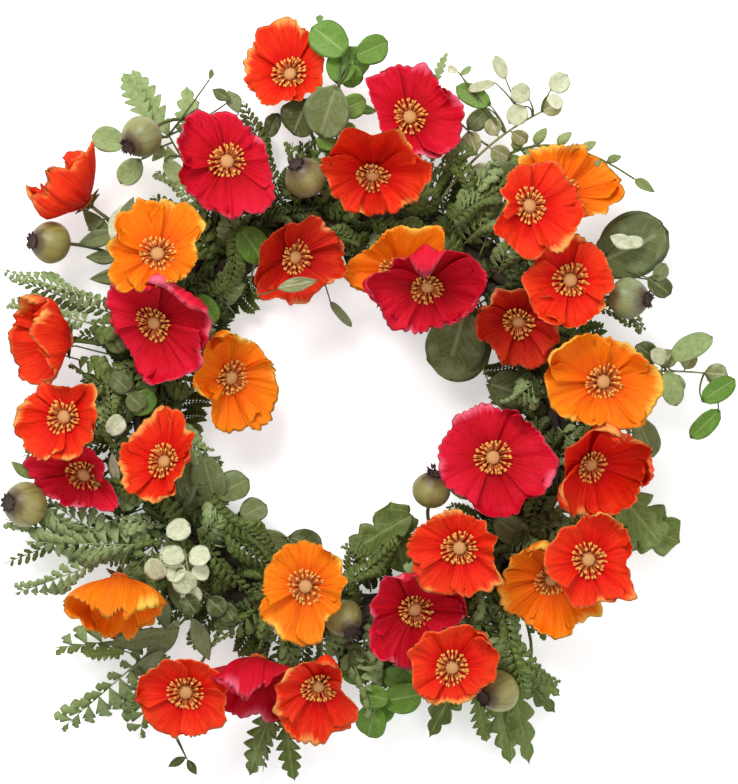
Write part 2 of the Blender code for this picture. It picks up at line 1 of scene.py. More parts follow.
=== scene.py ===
"""Looks of the floral wreath: fabric poppies, seed pods, ferns and leaf sprays on a ring of wound vines.

The tables of blooms, pods and sprays are those that the solids are placed by, with the lift and root
shift that each one was given. Angles run anticlockwise from +X around the ring's centre, in degrees.
"""

import math
from collections import namedtuple

import bpy
import numpy as np
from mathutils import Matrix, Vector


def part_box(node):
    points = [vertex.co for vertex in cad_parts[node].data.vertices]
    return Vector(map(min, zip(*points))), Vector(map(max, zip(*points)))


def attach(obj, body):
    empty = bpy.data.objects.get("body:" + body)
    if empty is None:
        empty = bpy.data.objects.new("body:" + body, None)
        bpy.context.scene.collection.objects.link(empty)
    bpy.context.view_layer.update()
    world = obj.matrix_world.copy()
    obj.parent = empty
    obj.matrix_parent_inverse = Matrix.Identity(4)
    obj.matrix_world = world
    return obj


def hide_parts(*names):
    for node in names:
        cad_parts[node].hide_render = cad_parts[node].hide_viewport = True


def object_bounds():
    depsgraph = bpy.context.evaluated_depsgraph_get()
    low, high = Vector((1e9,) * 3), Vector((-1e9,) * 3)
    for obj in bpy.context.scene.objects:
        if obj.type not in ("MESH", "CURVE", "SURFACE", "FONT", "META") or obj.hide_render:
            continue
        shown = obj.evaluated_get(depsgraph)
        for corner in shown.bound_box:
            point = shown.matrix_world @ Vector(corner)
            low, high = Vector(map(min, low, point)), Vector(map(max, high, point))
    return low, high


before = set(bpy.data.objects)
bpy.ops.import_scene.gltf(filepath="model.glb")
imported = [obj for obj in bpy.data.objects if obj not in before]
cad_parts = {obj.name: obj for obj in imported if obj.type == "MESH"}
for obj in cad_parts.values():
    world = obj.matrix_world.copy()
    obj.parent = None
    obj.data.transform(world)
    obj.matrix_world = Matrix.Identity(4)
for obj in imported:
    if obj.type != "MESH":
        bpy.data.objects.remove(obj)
cad_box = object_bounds()

# Sizes that the solids share, in metres
RING_RADIUS = 0.175
VINE_WIDTH = 0.046
VINE_HEIGHT = 0.042
BLOOM_RADIUS = 0.045
CALYX_RADIUS = 0.0048
CALYX_DEPTH = 0.0055
STEM_RADIUS = 0.0015
STEM_BEND = 0.5
POD_RADIUS = 0.0165
POD_LENGTH = 0.036
LEAF_LENGTH = 0.032
LEAF_HANG = 0.22
LEAF_ROLL = 0.36
BUD_SHARE = 0.8
DOME_HEIGHT = 0.084
DOME_FALL = 0.028
DOME_REACH = 0.125
LAYER_STEP = 0.015
CUP_DRAW = 0.30
CURL_DRAW = 0.45
CURL_RISE = 0.75

# Sizes of the looks, in metres
PETAL_THICKNESS = 0.0005
LEAF_SHEET = 0.0006
STAMEN_REACH = 0.0138
FILAMENT_RADIUS = 0.00062
ANTHER_RADIUS = 0.00098
ANTHER_LENGTH = 0.0031
SEPAL_SIZE = (0.013, 0.006, 0.006)  # length, width and depth
CROWN_TIP_SIZE = (0.0050, 0.0030, 0.003)
TWIG_RADII = (0.0015, 0.0008)  # at the heel and at the tip
STALK_RADII = (0.0011, 0.0006)
TENDRIL_RADII = (0.0014, 0.0007)
TENDRIL_SINK = 0.004  # how deep a tendril's ends lie in the vines
TENDRIL_BULGE = 0.014
TENDRIL_UPS = (0.012, 0.016, 0.004)  # its height, how much it rises and how uneven it is
MIDRIB_RADII = (0.0008, 0.0003)
LEAFLET_STALK = 0.0007
FROND_STALK = 0.0008
FROND_HEIGHT = 0.011
FROND_RISE = 0.018
FROND_UNEVEN = 0.010
FRINGE_ARCH = 0.004  # how high a fringe's frond arches, and how deep in the vines it starts
FEATURE_ARCH = 0.008
FEATURE_RISE = 0.004
FROND_STALK_ARCH = 0.006
LEAF_DROP = 0.004  # how far a single leaf's tip lies under its heel
LEAF_DROP_UNEVEN = 0.006
STALK_LOWEST = 0.03
FRINGE_WIDTHS = {1: 0.026, -1: 0.020}
LONG_FROND = 0.27  # how far out a frond ends that has more leaflets than the others
VINE_RADIUS = 0.0056
VINE_UNEVEN = 0.0012
VINE_LIFT = 0.0002  # how far the lowest bark stays over the floor
HEADROOM = 0.008  # how far petals may stand above the highest solid
EASING = 0.020  # the depth in which a petal that would stand higher bends over

# Where loose fronds end and how they bend, from and to, in metres
FILLER_OUTSIDE = (0.205, 0.262)
FILLER_INSIDE = (0.118, 0.150)
FILLER_UP = (0.038, 0.066)
FILLER_START = 0.012  # how far over the middle of the vines they start
FILLER_ARCH = (0.018, 0.034)
FILLER_WIDTH = (0.026, 0.040)
COVER_SINK = 0.002
COVER_AWAY = (0.004, 0.020)
COVER_ASIDE = 0.006
COVER_RISE = (0.004, 0.018)
COVER_ARCH = (0.006, 0.014)
COVER_WIDTH = (0.024, 0.034)

# Shares of a petal's length or width
PETAL_OVERLAP = 1.32  # half width of a petal, where 1 is half of the way to its neighbour
PETAL_LAYER = 0.050  # how far an inner petal lies over an outer one
PETAL_EDGE = 0.035  # how far the flanks of an inner petal stand up
PETAL_HEEL = 0.06
PETAL_NOTCH = 0.07  # how much shorter a petal is where it meets its neighbour
CUP_POWER = 1.35
FOLD_START = 0.74  # where the rim starts to turn up
FOLD_ANGLE = 1.9
FOLD_PLAIN = 0.62  # how far the rim of a plain bloom turns up, where 1 is the whole angle
FOLD_MORE = 1.2  # what a bloom's curl adds to it
SCALLOPS = 18  # lobes in half a turn
SCALLOP_DRIFT = 3.6  # how uneven the lobes' widths are
SCALLOP_DEPTH = 0.050
SCALLOP_RISE = 0.045
RIM_UNEVEN = 0.105
RIM_NICKS = 0.020
RIM_LEAST = 0.50
RIM_MOST = 1.45
# The pale patches are painted highlights.
HIGHLIGHT_REACH = 0.34  # how deep the pale patches reach in from the rim

# Waves of a petal: knots for each petal, height, and how fast they grow towards the rim
RUFFLES = ((2, 0.095, 1.8), (5, 0.115, 2.4), (12, 0.040, 2.8))
CRINKLES = ((8, 0.024), (17, 0.014))
RUFFLES_PRESSED = 0.6  # how much lower the ruffles are where a petal folds over

# Rings of stamens: how many, how far out and how high, as shares of their reach, and how uneven they are
STAMEN_TIERS = ((22, 0.68, 0.46), (36, 0.95, 0.28))
STAMEN_HEEL = (0.38, 0.08)
STAMEN_GROWTH = 0.08  # how much of their reach goes with the bloom's size
STAMEN_CROWDING = 0.8  # how much shorter they are in a deeper cup
STAMEN_PRESSED = 0.55  # how much shorter they are where a petal folds over
STAMEN_DRIFTS = (0.30, 0.11, 0.16)  # round, out and up

# Profiles: how far out and how high, as shares of a width and a height
OVARY_SKIRT = ((0.10, 0.0), (0.74, 0.03), (0.70, 0.09), (0.12, 0.12))
OVARY_DOME = ((0.30, 0.0), (0.42, 0.10), (0.45, 0.24), (0.40, 0.37), (0.28, 0.45), (0.10, 0.49))
CALYX_PROFILE = ((0.35, -1.1), (0.75, -0.9), (1.05, -0.45), (1.35, -0.12), (1.20, -0.02))
CROWN_PROFILE = ((0.24, 0.88), (0.29, 0.93), (0.38, 0.975), (0.43, 0.99), (0.33, 0.955), (0.14, 0.94))
CROWN_FRILL = (0.0, 0.02, 0.07, 0.10, 0.06, 0.0)
BUD_PROFILE = ((0.16, 0.0), (0.38, 0.10), (0.50, 0.32), (0.46, 0.58), (0.30, 0.80), (0.10, 0.97))

# Shares of a leaf, a frond or a twig
LOBES_FADE = 0.45  # how much shallower the lobes of a leaf are at its tip
LAST_LEAFLET = 0.97  # where the last leaflet of a frond stands
LAST_LEAF = 0.94  # where the last leaf beside a twig stands
STALK_SHARE = 0.10  # the stalk of a leaf, as a share of its size
FAN_SPREAD = 1.65  # how much wider a frond of fans is than the leaf it stands for
TONE_UNEVEN = 0.15

# Counts
PETAL_ROWS = 11
PETAL_COLUMNS = 61
OUTLINE_STEPS = 48
OUTLINE_TURNS = 8
OVARY_COLUMNS = 24
CALYX_COLUMNS = 15
SEPALS = 5
POD_ROWS = 17
POD_COLUMNS = 32
CROWN_TIPS = 9
BUD_COLUMNS = 12
STEM_STEPS = 12
FAN_PAIRS = 7
STRANDS = 15
OUTER_STRANDS = 10
STRAND_RINGS = 132
TENDRILS = 14
TENDRIL_STEPS = 14
FRINGE_GROUPS = 15
FILLER_FRONDS = 84
COVER_FRONDS = 136

# On petals the tone mark carries the strength of the painted rim highlights.
MARKS = ("along", "across", "seed", "tone")
NO_LENGTH = 1e-15  # keeps a vector without length from being divided by 0

ring_low, ring_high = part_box("vine_ring")
CENTRE = np.array([(ring_low[0] + ring_high[0]) / 2, (ring_low[1] + ring_high[1]) / 2, 0.0])
UP = np.array([0.0, 0.0, 1.0])

Bloom = namedtuple("Bloom", "tint around out size petals turn lean_to lean cup curl layer lift shift")
BLOOMS = (
    Bloom("scarlet", 100, 1.703, 0.90, 5, 30, 130, 20, 0.34, 0.0, 0, 0.008, -3),
    Bloom("crimson", 79, 1.491, 1.14, 4, 75, 60, 14, 0.26, 0.0, 0, 0.0, 0),
    Bloom("crimson", 116, 1.377, 1.14, 5, 80, 60, 8, 0.20, 0.0, 1, 0.0, 0),
    Bloom("scarlet", 85, 1.189, 1.18, 4, 90, 272, 40, 0.34, 0.2, 1, 0.0, 0),
    Bloom("scarlet", 141, 1.674, 1.04, 4, 320, 140, 64, 0.50, 0.3, 0, 0.004, -15),
    Bloom("orange", 140, 1.211, 1.00, 5, 55, 85, 14, 0.24, 0.0, 1, 0.024, 0),
    Bloom("scarlet", 110, 0.829, 1.08, 4, 170, 350, 26, 0.34, 0.3, 0, 0.0, 0),
    Bloom("orange", 72, 0.754, 1.08, 4, 60, 215, 28, 0.36, 0.0, -1, 0.0, 0),
    Bloom("crimson", 60, 0.737, 1.18, 4, 90, 265, 34, 0.34, 0.4, 1, 0.02, -18),
    Bloom("orange", 47, 1.497, 1.22, 5, 30, 45, 32, 0.34, 0.0, -1, 0.02, 0),
    Bloom("scarlet", 50, 1.320, 1.02, 4, 60, 15, 20, 0.26, 0.0, 1, 0.028, 0),
    Bloom("scarlet", 32, 1.251, 1.00, 4, 110, 0, 4, 0.24, 0.0, 1, 0.0, 0),
    Bloom("scarlet", 30, 0.949, 0.96, 4, 100, 262, 28, 0.36, 0.1, -1, 0.0, 0),
    Bloom("orange", 8, 1.223, 1.14, 5, 60, 0, 8, 0.24, 0.0, 1, 0.016, 3),
    Bloom("crimson", 154, 1.057, 1.20, 4, 35, 225, 28, 0.30, 0.3, 0, 0.004, 0),
    Bloom("orange", 162, 0.634, 1.10, 4, 70, 335, 34, 0.28, 0.0, -1, 0.0, 0),
    Bloom("scarlet", 165, 1.440, 1.14, 4, 10, 178, 46, 0.46, 0.3, 0, 0.0, 0),
    Bloom("scarlet", 180, 1.377, 0.94, 5, 20, 165, 16, 0.28, 0.0, 1, 0.016, 0),
    Bloom("crimson", 192, 1.337, 1.06, 4, 150, 235, 28, 0.26, 0.0, -1, 0.0, 0),
    Bloom("scarlet", 194, 0.931, 0.98, 5, 120, 135, 26, 0.34, 0.0, 0, 0.0, 0),
    Bloom("crimson", 344, 0.714, 1.16, 4, 100, 0, 3, 0.18, 0.0, 1, 0.0, 0),
    Bloom("scarlet", 349, 1.183, 1.08, 4, 130, 315, 32, 0.34, 0.3, 0, 0.0, 0),
    Bloom("scarlet", 310, 0.823, 0.96, 5, 90, 215, 14, 0.26, 0.0, 1, 0.004, 0),
    Bloom("scarlet", 329, 1.331, 1.04, 4, 80, 0, 5, 0.28, 0.0, 1, 0.02, 0),
    Bloom("orange", 321, 1.269, 1.14, 5, 200, 225, 26, 0.44, 0.0, -1, 0.0, 0),
    Bloom("orange", 255, 0.851, 1.04, 5, 90, 90, 5, 0.20, 0.0, 1, 0.0, 0),
    Bloom("orange", 215, 1.383, 1.12, 4, 90, 265, 44, 0.50, 0.3, 0, 0.0, -9),
    Bloom("crimson", 288, 0.989, 1.18, 4, 150, 315, 20, 0.28, 0.2, -1, 0.0, 0),
    Bloom("scarlet", 292, 1.309, 0.96, 4, 90, 270, 8, 0.28, 0.0, 1, 0.0, 0),
    Bloom("scarlet", 239, 1.560, 0.98, 4, 50, 255, 10, 0.26, 0.0, 0, 0.02, 0),
    Bloom("crimson", 249, 1.286, 1.12, 4, 90, 262, 40, 0.46, 0.3, -1, 0.0, 0),
    Bloom("scarlet", 263, 1.309, 0.94, 4, 80, 278, 28, 0.36, 0.0, 1, 0.0, 0),
)

# How far each bloom's rim lies from its stamens' centre, seen from above, in millimetres, at every
# 45 degrees from +X. The four blooms that show their side have none.
RIMS = (
    (31, 37, 44, 43, 40, 34, 26, 26),
    (42, 37, 47, 48, 28, 29, 34, 48),
    (34, 31, 43, 48, 37, 41, 53, 49),
    (46, 37, 26, 39, 41, 35, 31, 38),
    None,
    (32, 47, 42, 43, 37, 41, 28, 29),
    (44, 40, 27, 26, 28, 46, 37, 35),
    (43, 47, 35, 32, 45, 30, 30, 30),
    (43, 48, 24, 31, 47, 43, 37, 36),
    (51, 42, 38, 46, 28, 24, 24, 32),
    (43, 40, 35, 27, 23, 37, 43, 43),
    (33, 34, 41, 36, 39, 40, 42, 36),
    (32, 32, 26, 30, 36, 32, 40, 40),
    (45, 36, 35, 45, 48, 43, 32, 49),
    (51, 30, 30, 46, 36, 32, 48, 51),
    (38, 37, 37, 30, 26, 24, 49, 46),
    None,
    (29, 37, 23, 35, 42, 41, 34, 32),
    (20, 22, 27, 43, 48, 29, 22, 41),
    (19, 32, 47, 36, 37, 39, 29, 20),
    (51, 40, 45, 44, 42, 43, 48, 48),
    (48, 36, 25, 25, 26, 39, 44, 46),
    (29, 31, 32, 37, 42, 43, 39, 43),
    (29, 43, 35, 37, 41, 37, 37, 47),
    (36, 34, 29, 37, 45, 43, 43, 46),
    (31, 41, 37, 39, 35, 43, 48, 33),
    None,
    (47, 32, 31, 35, 39, 47, 49, 24),
    (38, 41, 37, 36, 35, 37, 29, 31),
    (36, 30, 31, 32, 43, 38, 37, 41),
    None,
    (21, 23, 23, 31, 37, 43, 48, 44),
)

# Scarlet blooms painted a darker red: partly a darker fabric, partly painted shade, as they lie lower and
# in shadow
DARK_AND_SHADED_BLOOMS = (6, 12)

# Blooms whose petals fold over their stamens more or less than in the solids, and how far
FOLDED_BLOOMS = {3: 0.30, 4: 0.50, 14: 0.06, 16: 0.85, 21: 0.42, 26: 1.00, 30: 1.00}

# Tone is the pod's colour, from green-grey at 0 through olive to brown at 1
Pod = namedtuple("Pod", "around out up size lean_to lean lift shift tone")
PODS = (
    Pod(127, 1.703, 0.952, 1.00, 222, 50, 0.008, -21, 0.25),
    Pod(150, 1.714, 0.786, 1.02, 178, 50, 0.0, -6, 0.55),
    Pod(101, 1.194, 0.952, 1.00, 125, 46, 0.0, 0, 0.80),
    Pod(23, 1.480, 0.952, 1.00, 355, 58, 0.0, 0, 0.10),
    Pod(318, 0.531, 0.833, 0.92, 80, 62, 0.0, 0, 0.60),
    Pod(195, 1.669, 0.690, 1.10, 170, 40, 0.004, -18, 0.45),
    Pod(268, 0.989, 0.952, 0.92, 300, 50, 0.0, 0, 0.50),
    Pod(298, 1.531, 0.619, 1.02, 200, 50, 0.016, 18, 0.65),
)

# Sprays of the solids: the twig leaves the ring at root and ends at around and out. Tone picks the
# leaf's shade within its colour, from dark at 0 to light at 1.
Spray = namedtuple(
    "Spray", "node slot leaf root around out up arch sway pairs first length width splay tone"
)
SPRAYS = (
    Spray("ivy_sprig_top", "bright_leaf", "round", 93, 92, 1.629, 1.024, 0.119, 0.05, 3, 0.44,
          1.000, 0.906, 74, 0.6),
    Spray("disc_sprig_top_right", "silver_leaf", "disc", 69, 58, 1.771, 0.714, 0.119, 0.16, 3,
          0.46, 0.656, 0.625, 72, 0.6),
    Spray("bud_sprig_upper_right", "fern_leaf", "bud", 63, 40, 1.817, 0.786, 0.000, 0.62, 5, 0.40,
          0.738, 0.345, 40, 0.7),
    Spray("broad_leaf_right", "grey_leaf", "round", 28, 32, 1.817, 0.524, 0.000, 0.05, 0, 0.60,
          2.000, 1.750, 0, 0.3),
    Spray("disc_sprig_right", "silver_leaf", "disc", 8, 7, 1.760, 0.595, 0.000, 0.10, 3, 0.50,
          0.719, 0.688, 64, 0.35),
    Spray("lobed_leaf_right", "fern_leaf", "lobed", 342, 339, 1.749, 0.476, 0.000, 0.00, 0, 0.60,
          2.656, 1.625, 0, 0.55),
    Spray("fern_lower_right", "fern_leaf", "serrated", 306, 300, 1.400, 0.500, 0.000, 0.05, 1, 0.66,
          3.281, 1.062, 40, 0.4),
    Spray("ivy_sprig_bottom", "bright_leaf", "round", 276, 276, 1.371, 0.476, 0.000, 0.10, 1, 0.60,
          1.062, 1.000, 75, 0.65),
    Spray("fern_lower_left", "fern_leaf", "fans", 232, 229, 1.629, 0.500, 0.000, 0.03, 1, 0.66,
          3.062, 0.938, 38, 0.8),
    Spray("lance_leaves_lower_left", "grey_leaf", "lance", 212, 222, 1.371, 0.548, 0.000, 0.10, 2,
          0.42, 1.625, 0.688, 50, 0.5),
    Spray("lance_leaves_upper_left", "grey_leaf", "lance", 147, 144, 1.457, 0.571, 0.000, 0.05, 2,
          0.48, 1.438, 0.562, 50, 0.5),
    Spray("serrated_leaf_top_left", "fern_leaf", "serrated", 124, 123, 1.657, 0.643, 0.000, 0.02, 1,
          0.68, 2.344, 0.875, 38, 0.9),
    Spray("broad_leaf_inner_right", "grey_leaf", "round", 26, 36, 0.480, 0.595, 0.000, 0.05, 0,
          0.60, 1.750, 1.750, 0, 0.3),
    Spray("leaf_sprig_inner_left", "grey_leaf", "round", 188, 232, 0.743, 0.595, 0.119, 0.00, 2,
          0.46, 1.062, 1.000, 62, 0.45),
    Spray("disc_sprig_lower_left", "silver_leaf", "disc", 208, 226, 1.131, 1.024, 0.238, 0.10, 2,
          0.50, 0.719, 0.688, 68, 0.95),
    Spray("lobed_leaf_inner_bottom", "fern_leaf", "lobed", 287, 294, 0.486, 0.548, 0.000, 0.00, 0,
          0.60, 1.938, 1.438, 0, 0.55),
)

# Single leaves on stalks of their own: the heel and the tip in millimetres from the ring's centre,
# the width, the height over the floor and the shade
SLOTS_BY_SHADE = {
    "bright": ("bright_leaf", 0.55),
    "mint": ("fern_leaf", 0.95),
    "fern": ("fern_leaf", 0.45),
    "grey": ("grey_leaf", 0.55),
    "olive": ("grey_leaf", 0.15),
    "disc": ("silver_leaf", 0.3),
    "cream": ("silver_leaf", 0.9),
}
Leaf = namedtuple("Leaf", "kind shade heel_x heel_y tip_x tip_y width up")
LEAVES = (
    Leaf("round", "bright", -5, 310, -34, 333, 32, 92),
    Leaf("round", "bright", 4, 307, 33, 319, 26, 90),
    Leaf("round", "bright", -4, 314, 11, 292, 27, 84),
    Leaf("round", "bright", -2, 300, 3, 281, 20, 86),
    Leaf("lance", "bright", -27, 336, -27, 348, 7, 78),
    Leaf("round", "grey", -13, 278, -28, 238, 42, 100),
    Leaf("round", "olive", -38, 269, -52, 242, 36, 78),
    Leaf("round", "olive", -63, 261, -74, 243, 17, 54),
    Leaf("lance", "bright", 3, 263, 23, 265, 10, 66),
    Leaf("serrated", "mint", 71, 283, 81, 317, 10, 60),
    Leaf("serrated", "mint", -173, 252, -198, 298, 24, 60),
    Leaf("round", "mint", -196, 235, -224, 243, 23, 58),
    Leaf("round", "mint", -183, 221, -199, 201, 21, 58),
    Leaf("round", "mint", -160, 220, -144, 200, 16, 62),
    Leaf("lance", "olive", -104, 272, -120, 282, 11, 66),
    Leaf("lance", "grey", -97, 261, -106, 283, 14, 62),
    Leaf("lance", "olive", -122, 290, -119, 301, 5, 66),
    Leaf("lance", "grey", -132, 266, -126, 249, 8, 60),
    Leaf("lance", "grey", -201, 159, -239, 148, 16, 58),
    Leaf("lance", "cream", -207, 152, -199, 186, 13, 62),
    Leaf("lance", "grey", -198, 161, -190, 193, 12, 60),
    Leaf("lance", "grey", -213, 171, -232, 162, 10, 50),
    Leaf("round", "mint", -281, 62, -296, 57, 8, 56),
    Leaf("disc", "cream", 133, 290, 124, 311, 12, 66),
    Leaf("disc", "cream", 124, 287, 100, 281, 10, 66),
    Leaf("disc", "cream", 153, 272, 138, 282, 19, 70),
    Leaf("disc", "cream", 150, 267, 136, 252, 19, 66),
    Leaf("disc", "cream", 171, 280, 186, 293, 19, 70),
    Leaf("disc", "cream", 169, 276, 181, 265, 12, 70),
    Leaf("disc", "olive", 118, 266, 101, 248, 19, 58),
    Leaf("round", "bright", 119, 269, 90, 285, 19, 62),
    Leaf("round", "mint", 94, 295, 105, 302, 6, 62),
    Leaf("disc", "cream", 92, 297, 83, 302, 7, 62),
    Leaf("round", "olive", 212, 132, 278, 162, 54, 52),
    Leaf("disc", "cream", 230, 150, 254, 151, 12, 60),
    Leaf("disc", "olive", 256, 120, 278, 106, 19, 52),
    Leaf("disc", "olive", 246, 62, 263, 50, 19, 60),
    Leaf("disc", "olive", 256, 42, 269, 21, 19, 56),
    Leaf("disc", "cream", 258, 57, 272, 47, 15, 62),
    Leaf("round", "mint", 276, 50, 311, 71, 22, 66),
    Leaf("round", "mint", 273, 38, 281, 9, 20, 58),
    Leaf("round", "bright", 302, 14, 330, 32, 20, 70),
    Leaf("round", "bright", 316, 5, 293, -19, 19, 66),
    Leaf("round", "grey", 248, -3, 263, -35, 24, 50),
    Leaf("lobed", "fern", 222, -56, 271, -112, 46, 50),
    Leaf("disc", "olive", 227, -98, 246, -116, 17, 58),
    Leaf("serrated", "fern", 127, -186, 161, -307, 31, 48),
    Leaf("serrated", "fern", 147, -213, 183, -246, 19, 50),
    Leaf("serrated", "fern", 108, -239, 119, -288, 22, 44),
    Leaf("round", "bright", 28, -246, 63, -241, 29, 56),
    Leaf("round", "bright", 21, -250, 13, -280, 29, 54),
    Leaf("round", "bright", 32, -244, 6, -240, 22, 62),
    Leaf("disc", "olive", 1, -200, 11, -218, 19, 62),
    Leaf("serrated", "fern", -65, -247, -94, -312, 31, 48),
    Leaf("serrated", "fern", -58, -259, -52, -319, 24, 44),
    Leaf("lance", "olive", -143, -295, -159, -303, 8, 52),
    Leaf("lance", "olive", -142, -297, -134, -310, 8, 52),
    Leaf("serrated", "fern", -196, -203, -232, -207, 15, 54),
    Leaf("lance", "grey", -156, -184, -211, -201, 19, 58),
    Leaf("lance", "grey", -149, -176, -178, -217, 19, 52),
    Leaf("lance", "grey", -138, -174, -122, -213, 17, 52),
    Leaf("lance", "grey", -162, -202, -196, -232, 15, 48),
    Leaf("lance", "fern", -273, -54, -298, -39, 10, 56),
    Leaf("round", "olive", 98, 90, 83, 35, 53, 52),
    Leaf("round", "olive", 120, 28, 165, 14, 39, 48),
    Leaf("round", "grey", -128, -34, -119, -76, 31, 60),
    Leaf("round", "grey", -136, -39, -151, -81, 22, 54),
    Leaf("lance", "cream", -205, -31, -202, -63, 10, 74),
    Leaf("lobed", "fern", 53, -86, -4, -116, 36, 50),
    Leaf("round", "olive", -53, -105, -25, -112, 22, 50),
    Leaf("round", "bright", -95, 161, -74, 133, 29, 66),
    Leaf("round", "bright", -134, 103, -116, 81, 22, 66),
    Leaf("disc", "olive", -210, 74, -196, 55, 19, 60),
    Leaf("disc", "olive", -207, 37, -190, 21, 19, 68),
    Leaf("round", "bright", -187, 3, -169, 21, 22, 70),
    Leaf("disc", "olive", -191, 20, -178, 6, 19, 76),
    Leaf("disc", "cream", -210, -14, -195, -1, 19, 76),
    Leaf("disc", "cream", -160, 91, -144, 106, 19, 70),
    Leaf("disc", "olive", -184, 108, -167, 116, 17, 66),
    Leaf("disc", "cream", -157, -101, -137, -92, 20, 96),
    Leaf("disc", "cream", -161, -122, -142, -115, 19, 96),
    Leaf("disc", "cream", -171, -120, -162, -139, 20, 92),
    Leaf("disc", "cream", -149, -132, -135, -149, 22, 92),
    Leaf("disc", "olive", -144, -152, -132, -169, 19, 82),
    Leaf("disc", "olive", -123, -156, -108, -169, 19, 74),
    Leaf("disc", "olive", -112, -161, -100, -176, 17, 70),
    Leaf("lance", "disc", -62, 108, -28, 115, 13, 120),
    Leaf("round", "grey", 263, 118, 273, 132, 14, 50),
    Leaf("lance", "cream", 222, 155, 244, 145, 14, 70),
    Leaf("round", "olive", 125, -88, 152, -109, 26, 56),
    Leaf("round", "olive", 101, -71, 84, -45, 19, 50),
    Leaf("round", "grey", -18, 99, 1, 77, 8, 50),
    Leaf("round", "olive", 150, 207, 117, 206, 27, 72),
)

# Where the stalk of a leaf that lies on a bloom turns, so that it passes round the bloom's rim, by the
# leaf's heel
ROUND_A_RIM = {(-62, 108): np.array([-0.100, 0.085, 0.160])}

# Feathery fronds that stand out, in the same way, with their number of leaflet pairs and their tone
Frond = namedtuple("Frond", "heel_x heel_y tip_x tip_y width pairs up tone")
FEATURE_FRONDS = (
    Frond(-213, 99, -302, 127, 22, 14, 58, 1.00),
    Frond(-227, 81, -297, 99, 29, 12, 54, 0.95),
    Frond(-239, 61, -295, 55, 17, 10, 50, 0.85),
    Frond(-188, -122, -300, -89, 46, 13, 46, 1.00),
    Frond(-218, -127, -293, -154, 30, 10, 44, 0.95),
    Frond(-213, -105, -264, -72, 32, 8, 50, 0.90),
    Frond(-172, -112, -282, -108, 42, 12, 52, 0.95),
    Frond(-200, -49, -210, 33, 26, 15, 60, 0.62),
    Frond(-196, 14, -220, -20, 20, 10, 58, 0.50),
    Frond(-128, -72, -60, -122, 31, 14, 62, 0.35),
    Frond(-116, -91, -50, -147, 26, 14, 58, 0.30),
    Frond(-132, -105, -86, -156, 20, 10, 56, 0.30),
    Frond(-5, -147, 43, -107, 26, 11, 58, 0.50),
    Frond(28, -127, -8, -111, 20, 9, 56, 0.45),
    Frond(127, -159, 150, -241, 34, 14, 62, 0.60),
    Frond(122, -190, 179, -232, 26, 11, 58, 0.50),
    Frond(144, -164, 171, -190, 22, 8, 56, 0.45),
    Frond(86, 169, 127, 196, 32, 10, 64, 0.66),
    Frond(76, 217, 105, 229, 27, 8, 64, 0.62),
    Frond(110, 169, 139, 218, 26, 10, 62, 0.55),
    Frond(101, 193, 86, 235, 24, 9, 62, 0.50),
    Frond(18, 169, 77, 152, 24, 12, 62, 0.35),
    Frond(-43, 162, 9, 150, 24, 11, 60, 0.40),
    Frond(-93, 171, -108, 101, 22, 13, 58, 0.40),
    Frond(-123, 103, -101, 132, 19, 8, 60, 0.45),
    Frond(-132, 184, -169, 212, 22, 9, 56, 0.80),
    Frond(-152, 179, -188, 173, 19, 8, 58, 0.75),
    Frond(167, 154, 183, 132, 17, 6, 58, 0.50),
    Frond(167, -45, 154, -96, 20, 9, 54, 0.25),
    Frond(229, 99, 254, 74, 20, 7, 54, 0.50),
    Frond(203, 99, 246, 81, 20, 8, 54, 0.45),
)


def polar(around, out, up):
    """The point at an angle around the ring, a distance out from its centre and a height."""
    angle = math.radians(around)
    return np.array([out * math.cos(angle), out * math.sin(angle), up])


def ring_core(around):
    return polar(around, RING_RADIUS, VINE_HEIGHT / 2)


def around_of(point):
    """The angle around the ring at which a point lies."""
    return math.degrees(math.atan2(point[1], point[0]))


def ends_of(row, rise):
    """Where a leaf or frond of the tables starts and ends, its tip higher by a rise."""
    heel = np.array([row.heel_x, row.heel_y, row.up]) / 1000
    return heel, np.array([row.tip_x, row.tip_y, row.up]) / 1000 + UP * rise


def spread(seed, step):
    """A fixed, uneven value from -1 to 1 for each pair of numbers."""
    return math.sin(seed * 12.9898 + step * 78.233)


def unit(vector):
    return vector / (np.linalg.norm(vector) + NO_LENGTH)


def unit_rows(vectors):
    """The same vectors, each with a length of 1."""
    return vectors / (np.linalg.norm(vectors, axis=-1, keepdims=True) + NO_LENGTH)


def circle(count):
    """Even steps round a circle."""
    return np.arange(count) * math.tau / count


def round_values(values, angle):
    """Smooth values round a circle, between values given at even steps."""
    values = np.asarray(values, float)
    spot = (np.asarray(angle) / math.tau % 1.0) * len(values)
    low = np.floor(spot).astype(int)
    part = spot - low
    part = part * part * (3 - 2 * part)
    return values[low % len(values)] * (1 - part) + values[(low + 1) % len(values)] * part


def uneven(angle, seed, knots):
    """Uneven smooth values from -1 to 1 round a circle."""
    return round_values(np.random.RandomState(seed).uniform(-1, 1, knots), angle)


def bent_path(start, control, end, steps):
    t = np.linspace(0, 1, steps + 1)[:, None]
    return start * (1 - t) ** 2 + control * 2 * t * (1 - t) + end * t**2


